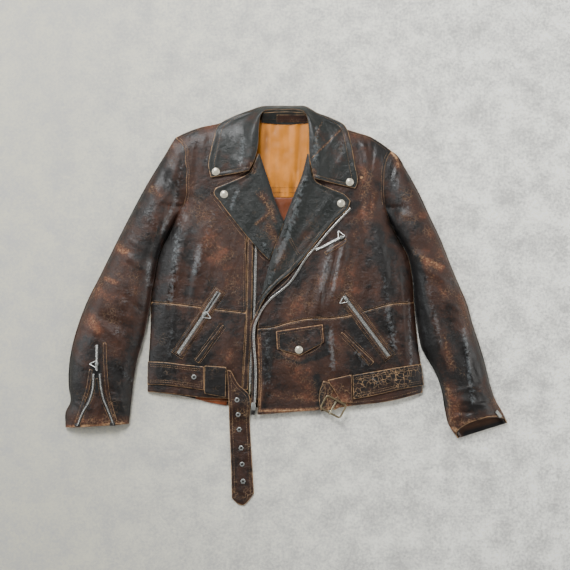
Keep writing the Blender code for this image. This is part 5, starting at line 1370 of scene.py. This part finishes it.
def ring_solid(name, outer, inner, push, kind, replaces=(), values=None, body=JACKET):
    """A closed band between two loops of points, as thick as push to both sides, with softened corners."""
    cut = 0.22
    rings = []
    low, high = -1 + 2 * cut, 1 - 2 * cut
    for side, depth in ((0, low), (0, high), (cut, 1), (1 - cut, 1), (1, high), (1, low),
            (1 - cut, -1), (cut, -1)):
        rings.append(outer * (1 - side) + inner * side + depth * push)
    points = np.stack(rings, axis=1)
    edge = np.tile(np.array([1, 1, 0.4, 0.4, 1, 1, 0.4, 0.4]), len(outer))
    return sweep(name, points, kind, replaces, closed=True, values={"edge": edge,
        **(values(points[..., :2].reshape(-1, 2)) if values else {})}, body=body)


def frame_on(name, line, width, slot_width, height, low, high, kind, replaces):
    """A flat leather frame round a slot, lying on a surface."""
    outer = long_box(line, width, 4, 44)
    inner = long_box(line, slot_width, 0.5, 44)
    loops = [np.column_stack([loop, height(loop) + (low + high) / 2]) for loop in (outer, inner)]
    push = np.array([0, 0, (high - low) / 2])
    return ring_solid(name, *loops, push, kind, replaces, body_paint)


def slider_axis(key, height):
    """Where a slider's pull hinges: its place, the chain's direction, the pull's side, and the height."""
    place, turn, side = SLIDERS[key]
    place = np.array(place, float)
    way = np.array([math.cos(math.radians(turn)), math.sin(math.radians(turn))])
    across = np.array([-way[1], way[0]]) * side
    reach = np.array([[a, b] for a in (-1, 0, 1) for b in (-1, 0, 1)])
    foot = place + reach[:, :1] * way * SLIDER_LENGTH / 2 + reach[:, 1:] * across * SLIDER_WIDTH / 2
    ground = float(height(foot).max())
    return place, way, across, ground, ground + SLIDER_FOOT + BRIDGE_WALL + BRIDGE_HOLE / 2


def slider_with_pull(key, height, base_height):
    """A slider: a flat body under a square bridge, and its three-cornered wire pull hanging in the bridge.

    Both stand on the creased leather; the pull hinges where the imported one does, over the uncreased form.
    """
    place, way, across, ground, axis_up = slider_axis(key, height)
    way3, across3, up3 = np.append(way, 0), np.append(across, 0), np.array([0, 0, 1])
    centre = np.append(place, axis_up)

    def eye(half_foot, half_top, low, high, radius):
        corners = [(-half_foot, low), (half_foot, low), (half_top, high), (-half_top, high)]
        flat = rounded_loop(corners, radius, 6)
        return centre + flat[:, :1] * across3 + flat[:, 1:] * up3

    h, wall = BRIDGE_HOLE / 2, BRIDGE_WALL
    loops = eye(SLIDER_WIDTH / 2, h + wall, -h - wall, h + wall, 1), eye(h, h, -h, h, 0.6)
    ring_solid(f"{key}_slider_bridge", *loops, way3 * SLIDER_LENGTH / 2, "dark_steel",
        (f"{key}_slider",))
    a = turns(20)
    section = squared(np.cos(a), 0.6)[:, None] * across3
    foot = np.append(place, ground + SLIDER_FOOT - 0.3) + 1.5 * squared(np.sin(a), 0.6)[:, None] * up3
    stations = ((-4.2, 2), (-3.4, 3.2), (-1, 3.7), (1.6, 3.8), (3.6, 3), (4.4, 1.8))
    rings = [foot + along * way3 + half * section for along, half in stations]
    sweep(f"{key}_slider_body", np.array(rings), "dark_steel")
    axis_up = slider_axis(key, base_height)[4]
    tip_ground = float(base_height(place + across * PULL_LENGTH))
    drop = min(max(axis_up - tip_ground - PULL_WIRE - PULL_CLEAR, 0), PULL_DROP)
    tilt = math.asin(drop / PULL_LENGTH)
    flat = rounded_loop([(-PULL_BASE / 2, 0), (PULL_BASE / 2, 0), (0, PULL_LENGTH)], 3, 8)
    path = (np.append(place, axis_up) + flat[:, :1] * way3 + flat[:, 1:] * math.cos(tilt) * across3
            - flat[:, 1:] * math.sin(tilt) * up3)
    sweep(f"{key}_pull_wire", round_wire(path, PULL_WIRE, 10, closed=True), "steel",
        (f"{key}_pull",), closed=True, body=f"{key}_pull")


class JACKET_OT_pockets(bpy.types.Operator):
    """Builds the zipped pockets, the darts and the coin pocket's flap"""

    bl_idname = "jacket.pockets"
    bl_label = "Pockets, darts and flap"

    def execute(self, context):
        rows = []
        for name, line in (("pocket_left", POCKET_LEFT), ("pocket_right", POCKET_RIGHT)):
            frame_on(f"{name}_frame", line, POCKET_WELT, POCKET_SLOT, front_top, 0.2, 2.6, "trim",
                (f"{name}_welt",))
            ribbon(f"{name}_tape", line, POCKET_SLOT, 0.2, 1.2, front_top, "tape",
                (f"{name}_zip",))
            place = SLIDERS[name][0]
            apart = 3.4 if name == "pocket_left" else 1.5
            for side, phase in ((-1, 0.3), (1, 0.8)):
                rows.append(([line[0], place], front_top, 1.9, side * apart, phase))
                rows.append(([place, line[1]], front_top, 1.9, side * 1.5, phase))
        chest = CHEST_POCKET + [(64, 73)]
        ribbon("chest_pocket_tape", chest, 7, 0.2, 1.2, front_top, "tape",
            ("chest_pocket_zip",))
        rows += [(chest, front_top, 1.7, -0.9, 0.3), (chest, front_top, 1.7, 0.9, 0.8)]
        teeth("pocket_zip_teeth", rows, "steel", size=(3.3, 1.4, 2))
        ribbon("chest_pocket_lip", CHEST_WELT, 7, 0.2, 1.8, front_top, "trim",
            ("chest_pocket_welt",), values=body_paint)
        for name, line in (("dart_left", DART_LEFT), ("dart_right", DART_RIGHT)):
            ribbon(f"{name}_strip", line, (3, 10.5), 0.2, 1.8, front_top, "trim",
                (name,), values=body_paint)
        for name in ("pocket_left", "pocket_right", "chest_pocket"):
            slider_with_pull(name, front_top, body_height)
        top = curve(FLAP_TOP, 40)
        u = np.linspace(-1, 1, 41)
        drop = FLAP_SIDE + (FLAP_POINT - FLAP_SIDE) * (1 - np.abs(u))
        plan = ruled(top, top + np.stack([0 * u + 2, -drop], axis=1), 26)
        panel = lay_panel("coin_flap", plan, front_top, FLAP_WALL, "body",
            ("pocket_flap",), flap_paint, FLAP_LEVEL)
        return {"FINISHED"}


def cap(name, place, base, kind, replaces, profile):
    """A round piece turned from a profile of radius and height."""
    a = turns(28)
    rings = np.array([np.column_stack([place[0] + r * np.cos(a), place[1] + r * np.sin(a), np.full(28, base
        + z)]) for r, z in profile])
    return sweep(name, rings, kind, replaces)


class JACKET_OT_snaps(bpy.types.Operator):
    """Builds the press studs"""

    bl_idname = "jacket.snaps"
    bl_label = "Press studs"

    def execute(self, context):
        plan, up = collar_surface(80, 14)
        profile = [(6.6, 0.3), (8, 0.8), (8.2, 1.4), (7.7, 2.1), (6.7, 2.4), (6.2, 2.3), (5.6, 2.7),
            (4, 3.3), (1.6, 3.6)]
        for key, place in SNAPS.items():
            xy = np.array(place, float)
            if key.startswith("collar"):
                base = np.max(up[np.linalg.norm(plan - xy, axis=-1) < 10])
            elif key == "flap":
                base = float(front_top(xy)) + FLAP_LEVEL
            else:
                base = float(lapel_left_top(xy) if key == "lapel_left" else lapel_right_top(xy))
            cap(f"{key}_stud", place, base, "cap", (f"snap_{key}",), profile)
        return {"FINISHED"}


class JACKET_OT_cuffs(bpy.types.Operator):
    """Builds the left cuff's open zip over its gusset and the right cuff's lining"""

    bl_idname = "jacket.cuffs"
    bl_label = "Cuffs"

    def execute(self, context):
        plan = strip_plan(GUSSET_LEFT, GUSSET_RIGHT, 40, 24)
        panel = lay_panel("cuff_zip_gusset", plan, sleeve_left_top, 1, "trim",
            ("cuff_gusset",), sleeve_paint, 1.1)
        for name, line, width in (("cuff_zip", CUFF_ZIP, 8), ("cuff_zip_left", CUFF_ZIP_LEFT, 7),
                ("cuff_zip_right", CUFF_ZIP_RIGHT, 7)):
            ribbon(f"{name}_tape", line, width, 0.3, 1.6, sleeve_left_top, "tape", (name,))
        rows = [(line, sleeve_left_top, half, side, phase) for line, half, side, phase in (
            (CUFF_ZIP, 2, -0.9, 0.3), (CUFF_ZIP, 2, 0.9, 0.8), (CUFF_ZIP_LEFT, 2.2, -0.6, 0.5),
            (CUFF_ZIP_RIGHT, 2.2, 0.6, 0.5))]
        teeth("cuff_zip_teeth", rows, "steel", size=(3, 1.3, 1.7))
        slider_with_pull("cuff", sleeve_left_top, left_sleeve_height)
        for name, line in (("left", [(-403, -176), (-410, -216), (-420, -245), (-436, -290)]),
                ("right", [(-374, -120), (-372, -180), (-367, -232), (-353, -284)])):
            ribbon(f"cuff_{name}_lip", line, 7, 0.2, 1.6, sleeve_left_top, "trim",
                values=sleeve_paint)
        for name, place in (("left", (-433, -292)), ("right", (-359, -290))):
            end = np.array(place, float)
            ribbon(f"cuff_{name}_stop", [end - [5, 0], end + [5, 0]], 7, 0.4, 3, sleeve_left_top,
                "tape")
        depths = (WALL + 4 * REST, WALL + 4 * REST + LINING_WALL)
        walls = [sleeve_rings(*RIGHT_SLEEVE, cuff_lining_top, CUFF_LIP, depth, 0.83) for depth in depths]
        # The dark strokes on this lining paint near-black shade inside the cuff's opening.
        tube("right_cuff_lining", walls, "lining_brown", ("cuff_lining_right",), sleeve_paint)
        ribbon("right_cuff_zip_end", CUFF_ZIP_END, 7, 0.6, 3.2, sleeve_right_top, "dark_steel",
            ("cuff_zip_end_right",), step=3)
        return {"FINISHED"}


def cuff_lining_top(xy):
    return sleeve_right_top(xy) + 0.8 * crumple(xy, 95)


def strap_top(xy):
    """The upper face of a strap that lies on the fronts."""
    return front_top(xy) + REST + STRAP_WALL + 0.3


def tail_top(xy):
    """The upper face of the belt's hanging end: off the hem and down onto the floor."""
    y = xy[..., 1]
    down = ease((TAIL_LANDING[0] - y) / (TAIL_LANDING[0] - TAIL_LANDING[1]))
    on_hem = body_height(np.stack([xy[..., 0], np.maximum(y, TAIL_LANDING[0])], axis=-1)) + 2 * REST
    wall = STRAP_WALL * (1 + 0.25 * np.sin(down * np.pi))
    return on_hem * (1 - down) + wall + 0.25 * crumple(xy, 81) + 0.25


class JACKET_OT_belt(bpy.types.Operator):
    """Builds the belt, its loops, the hanging end with its eyelets, and the buckle"""

    bl_idname = "jacket.belt"
    bl_label = "Belt and buckle"

    def execute(self, context):
        for name, top, bottom, kind in (("left", BELT_LEFT_TOP, BELT_LEFT_BOTTOM, "belt"),
                ("right", BELT_RIGHT_TOP, BELT_RIGHT_BOTTOM, "cracked")):
            plan = strip_plan(top, bottom, 44, 16)
            panel = lay_panel(f"{name}_strap", plan, strap_top, STRAP_WALL, kind,
                (f"belt_{name}",), body_paint)
        for name, corners, kind in (("left", LOOP_LEFT, "loop"), ("right", LOOP_RIGHT, "belt")):
            c = np.array(corners, float)
            plan = ruled(np.linspace(c[0], c[1], 16), np.linspace(c[3], c[2], 16), 18)
            lay_panel(f"{name}_strap_loop", plan, strap_top, STRAP_WALL, kind,
                (f"belt_loop_{name}",), body_paint, 0.4)
        plan = strip_plan(TAIL_LEFT, TAIL_RIGHT, 90, 16)
        point = TAIL_POINT * (1 - np.abs(np.linspace(-1, 1, 17)) ** 1.5)
        plan[-4:, :, 1] -= np.array([0.25, 0.5, 0.75, 1])[:, None] * point
        tail = lay_panel("strap_tail", plan, tail_top, STRAP_WALL, "belt", ("belt_tail",),
            body_paint)
        fold = [(92, -204), (84, -232), (88, -262)]
        for layer, wide in enumerate((26, 18)):
            ribbon(f"folded_strap_{layer + 1}", fold, wide, 0.3 + 1.6 * layer, 1.7 + 1.6 * layer,
                front_top, "loop", shift=4.0 * layer, values=body_paint)
        under = [(124, -238), (98, -252)]
        ribbon("buckle_strap", under, 22, 0.3, 1.7, front_top, "loop", values=body_paint)
        self.eyelets()
        self.buckle()
        return {"FINISHED"}

    def eyelets(self):
        a = turns(40)
        ring = np.stack([np.cos(a), np.sin(a)], axis=1)
        for i, place in enumerate(EYELETS):
            height = strap_top if i == 0 else tail_top
            place = np.array(place)
            base = float(height(place + EYELET_OUTER * ring).max())
            star = 1 + 0.14 * np.cos(6 * a)[:, None] * (i in (3, 4, 6))
            outer = np.column_stack([place + EYELET_OUTER * star * ring, np.full(40, base + 0.45)])
            inner = np.column_stack([place + EYELET_HOLE * ring, np.full(40, base + 0.7)])
            node = "eyelet_belt" if i == 0 else f"eyelet_tail_{i}"
            ring_solid(f"{node}_ring", outer, inner, np.array([0, 0, 0.5]), "dark_steel",
                (node,))
            # Painted shade: a dark disc on the strap inside each eyelet stands in for the dark of its hole.
            disc = np.column_stack([place + (EYELET_HOLE + 0.3) * ring, np.full(40, base + 0.1)])
            sweep(f"{node}_hole_shade", np.array([disc, disc + [0, 0, 0.25]]), "tape")

    def buckle(self):
        turn = math.radians(BUCKLE_TURN)
        long_way = np.array([math.cos(turn), math.sin(turn)])
        short_way = np.array([-long_way[1], long_way[0]])
        place = np.array(BUCKLE_PLACE, float)
        length, width = BUCKLE_SIZE
        corners = [(-length / 2, -width / 2), (length / 2, -width / 2), (length / 2, width / 2),
            (-length / 2, width / 2)]
        flat = rounded_loop(corners, 6, 9)
        ground = max(float(body_height(place + long_way * a + short_way * b)) for a, b in corners)
        up = ground + REST + BUCKLE_BAR
        path = place + flat[:, :1] * long_way + flat[:, 1:] * short_way
        path = closed_path(raised(path, np.full(len(flat), up)), 1.5)
        sweep("buckle_bars", round_wire(path, BUCKLE_BAR, 14, closed=True), "old_brass",
            ("buckle_frame",), closed=True)
        hook = np.append(place - short_way * width / 2, up)
        way3, short3, up3 = np.append(long_way, 0), np.append(short_way, 0), np.array([0, 0, 1])
        angles = np.radians(np.linspace(40, 320, 18))
        r = BUCKLE_BAR + 1.0
        eye = [hook + r * (math.cos(a) * short3 + math.sin(a) * up3) for a in angles[::-1]]
        shaft = [hook + s * short3 + up3 * 0.2 for s in np.linspace(4.5, PRONG_LENGTH, 14)]
        path = np.array(shaft[::-1] + eye[::-1])
        sweep("prong_wire", prong_rings(path, way3), "brass", ("buckle_prong",),
            body="buckle_prong")


def closed_path(points, step):
    """A closed path cut again into even steps."""
    loop = np.concatenate([points, points[:1]])
    length = along_path(loop)
    steps = max(12, round(length[-1] / step))
    return sample(loop, length, np.linspace(0, length[-1], steps, endpoint=False))


def prong_rings(path, across):
    """Rings of a prong that is wider than thick, its width along one direction."""
    way = unit(np.gradient(path, axis=0))
    rise = np.cross(way, across)
    a = turns(12)
    return (path[:, None] + 0.9 * PRONG_WIDTH / 2 * np.cos(a)[None, :, None] * across + 0.55
        * np.sin(a)[None, :, None] * rise[:, None])


class JACKET_OT_stitching(bpy.types.Operator):
    """Sews the seams and edges with rows of thread stitches"""

    bl_idname = "jacket.stitching"
    bl_label = "Stitching"

    def execute(self, context):
        def on_placket(xy):
            return front_top(xy) + PLACKET_FACES[1]

        def on_flap(xy):
            return front_top(xy) + FLAP_LEVEL

        top = raised(*collar_surface(190, 30))
        n = grid_normals(top)
        rows = []
        for line in (np.s_[6:-6, 26], np.s_[4, 3:27], np.s_[-5, 3:27]):
            rows.append((top[line] + 0.2 * n[line], n[line]))
        rows += [row_on(*row) for row in (
            (LAPEL_LEFT_OUT, lapel_left_top, 7, (4, 4)), (LAPEL_LEFT_TOP, lapel_left_top, 7, (26, 4)),
            (LAPEL_RIGHT_OUT, lapel_right_top, 7, (4, 8)),
            ([(8, 96), (26, 63)], lapel_right_top, 0, (0, 0), 0.3),
            ([(12, 98), (30, 65)], lapel_right_top, 0, (0, 0), 0.3),
            (WAIST_LEFT, front_top, 3.2, (6, 6)), (WAIST_LEFT, front_top, -3.2, (6, 6)),
            (WAIST_RIGHT, front_top, 3.2, (6, 6)), (WAIST_RIGHT, front_top, -3.2, (6, 6)),
            (HEM_LEFT, front_top, 6, (8, 4)), (HEM_RIGHT, front_top, -6, (4, 8)),
            (FRONT_EDGE_RIGHT[8:], front_top, -5, (4, 8)), (FRONT_EDGE_LEFT[7:10], front_top, 5),
            (PLACKET, on_placket, 3.6, (4, 4)), (PLACKET, on_placket, -3.6, (4, 4)))]
        for line in (POCKET_LEFT, POCKET_RIGHT):
            for width, overrun, lift in ((POCKET_WELT + 4, 5.5, 0.2), (POCKET_SLOT + 5, 2, 2.8)):
                loop = long_box(line, width, overrun, 40)
                loop = np.concatenate([loop, loop[:1]])
                rows.append((raised(loop, front_top(loop) + lift), height_normals(front_top, loop)))
        rows += [row_on(line, front_top, side) for line in (DART_LEFT, DART_RIGHT) for side in (7.5, -7.5)]
        rows += [row_on([(-12, -101), (-9, -134), (31, -146), (75, -124), (73, -90)], on_flap),
                 row_on([(-14, -103), (29, -96), (74, -89)], on_flap)]
        for upper, lower in ((BELT_LEFT_TOP, BELT_LEFT_BOTTOM), (BELT_RIGHT_TOP, BELT_RIGHT_BOTTOM)):
            for inset in (5, 9):
                rows += [row_on(upper, strap_top, inset, (3, 3)), row_on(lower, strap_top, -inset, (3, 3))]
        rows += [row_on(*row) for row in (
            (TAIL_LEFT, tail_top, -6, (4, 0)), (TAIL_RIGHT, tail_top, 6, (4, 0)),
            (SHOULDER_LEFT, front_top, 5, (8, 40)), (SHOULDER_RIGHT, front_top, -5, (8, 40)),
            (ARMHOLE_LEFT, front_top, -5, (6, 4)), (ARMHOLE_RIGHT, front_top, 5, (6, 4)))]
        stitches("tan_stitches", rows, "thread")
        dark = [row_on(line, height, lift=lift) for line, height, lift in (
            ([(-379, -124), (-377, -180), (-372, -234), (-358, -280)], sleeve_left_top, 1.9),
            ([(-407, -180), (-414, -216), (-424, -245), (-440, -284)], sleeve_left_top, 0.3),
            ([(-404, -126), (-398, -119), (-390, -116), (-382, -119), (-375, -126)], sleeve_left_top, 0.3),
            ([(353, -215), (360, -250), (374, -293)], sleeve_right_top, 0.3),
            ([(-452, -288), (-340, -281)], sleeve_left_top, 0.3),
            ([(-50, 347), (0, 346), (46, 347)], neck_top, 0.7),
            ([(-36, 204), (28, 204)], flat_top(6.2), 0.2), ([(-36, 194), (26, 194)], flat_top(5.8), 0.2))]
        stitches("brown_stitches", dark, "dark_thread")
        return {"FINISHED"}


FLOOR_HALF = 4.0  # metres, as the next ones
CAMERA_UP = 3.0
PHOTO_WIDTH = 570 * 2.1 * MM


class JACKET_OT_stage(bpy.types.Operator):
    """Lays the pale floor and sets the lights and the camera straight above"""

    bl_idname = "jacket.stage"
    bl_label = "Floor, lights and camera"

    def execute(self, context):
        s = settings()
        mesh = bpy.data.meshes.new("floor")
        corners = [(x * FLOOR_HALF, y * FLOOR_HALF, -0.0004) for x, y in ((-1, -1), (1, -1), (1, 1), (-1, 1))]
        mesh.from_pydata(corners, [], [(0, 1, 2, 3)])
        floor = bpy.data.objects.new("floor", mesh)
        context.scene.collection.objects.link(floor)
        f = Finish("floor_with_painted_light")
        # Painted light: the floor's colour is darker and warmer towards -X and brighter towards +X, as from
        # light on the right; the mottled patches are the floor's own.
        shade = f.node("ShaderNodeSeparateXYZ", Vector=f.place).outputs["X"]
        painted_shade_side = tuple(c * w for c, w in zip(s.floor, (0.83, 0.81, 0.68)))
        light = tuple(c * w for c, w in zip(s.floor, (1.50, 1.52, 1.47)))
        tone = f.mix(f.span(shade, -0.6, 0.6), painted_shade_side, light)
        grain = f.sum((f.noise(18, 6, 0.7), 0.5), (f.noise(170, 6, 0.75), 0.5))
        patch = f.span(grain, 0.36, 0.64)
        tone = f.mix(patch, tone, tuple(c * 0.62 for c in s.floor))
        f.done(tone, 0.75, f.bump(f.noise(400, 4), 0.08, 0.0004))
        floor.data.materials.append(f.material)
        self.world()
        lights = [self.area("window_light", (-0.7, 1.7, 2.1), 1.1, s.light, (0.98, 0.99, 1)),
            self.area("left_box", (-2.1, 0.2, 1.2), 1.4, s.light * 0.26, (0.95, 0.98, 1)),
            self.area("right_box", (2.2, 0, 1.3), 1.4, s.light * 0.30, (1, 0.99, 0.97))]
        data = bpy.data.cameras.new("camera")
        camera = bpy.data.objects.new("camera", data)
        camera.location = (0, 0, CAMERA_UP)
        data.sensor_width = 36
        data.lens = 36 * CAMERA_UP / PHOTO_WIDTH
        context.scene.collection.objects.link(camera)
        context.scene.camera = camera
        return {"FINISHED"}

    def world(self):
        world = bpy.data.worlds.new("soft_room")
        world.use_nodes = True
        tree = world.node_tree
        background = tree.nodes["Background"]
        background.inputs["Color"].default_value = (0.90, 0.92, 0.93, 1)
        place = tree.nodes.new("ShaderNodeTexCoord")
        split = tree.nodes.new("ShaderNodeSeparateXYZ")
        span = tree.nodes.new("ShaderNodeMapRange")
        tree.links.new(place.outputs["Generated"], split.inputs[0])
        tree.links.new(split.outputs["Z"], span.inputs["Value"])
        for key, value in (("From Min", 0.35), ("From Max", 0.95), ("To Min", 0.46), ("To Max", 0.10)):
            span.inputs[key].default_value = value
        tree.links.new(span.outputs["Result"], background.inputs["Strength"])
        bpy.context.scene.world = world

    def area(self, name, place, size, power, colour):
        data = bpy.data.lights.new(name, "AREA")
        data.shape = "SQUARE"
        data.size = size
        data.energy = power
        data.color = colour
        lamp = bpy.data.objects.new(name, data)
        x, y, z = place
        lamp.location = place
        lamp.rotation_euler = (math.atan2(math.hypot(x, y), z), 0, math.atan2(y, x) + math.pi / 2)
        bpy.context.scene.collection.objects.link(lamp)
        return lamp


OPERATORS = (JACKET_OT_back, JACKET_OT_fronts, JACKET_OT_sleeves, JACKET_OT_lining, JACKET_OT_collar,
    JACKET_OT_fly, JACKET_OT_pockets, JACKET_OT_snaps, JACKET_OT_cuffs, JACKET_OT_belt, JACKET_OT_stitching,
    JACKET_OT_stage)


class JACKET_PT_panel(bpy.types.Panel):
    """Lists the pieces in the order in which they are built"""

    bl_label = "Leather jacket"
    bl_idname = "JACKET_PT_panel"
    bl_space_type = "VIEW_3D"
    bl_region_type = "UI"
    bl_category = "Jacket"

    def draw(self, context):
        for name in JacketSettings.__annotations__:
            self.layout.prop(context.scene.jacket, name)
        for operator in OPERATORS:
            self.layout.operator(operator.bl_idname)


CLASSES = (JacketSettings, *OPERATORS, JACKET_PT_panel)


def register():
    for kind in CLASSES:
        bpy.utils.register_class(kind)
    bpy.types.Scene.jacket = bpy.props.PointerProperty(type=JacketSettings)


def unregister():
    del bpy.types.Scene.jacket
    for kind in reversed(CLASSES):
        bpy.utils.unregister_class(kind)


def main():
    register()
    for step in OPERATORS:
        getattr(bpy.ops.jacket, step.bl_idname.split(".")[1])()


if __name__ == "__main__":
    main()
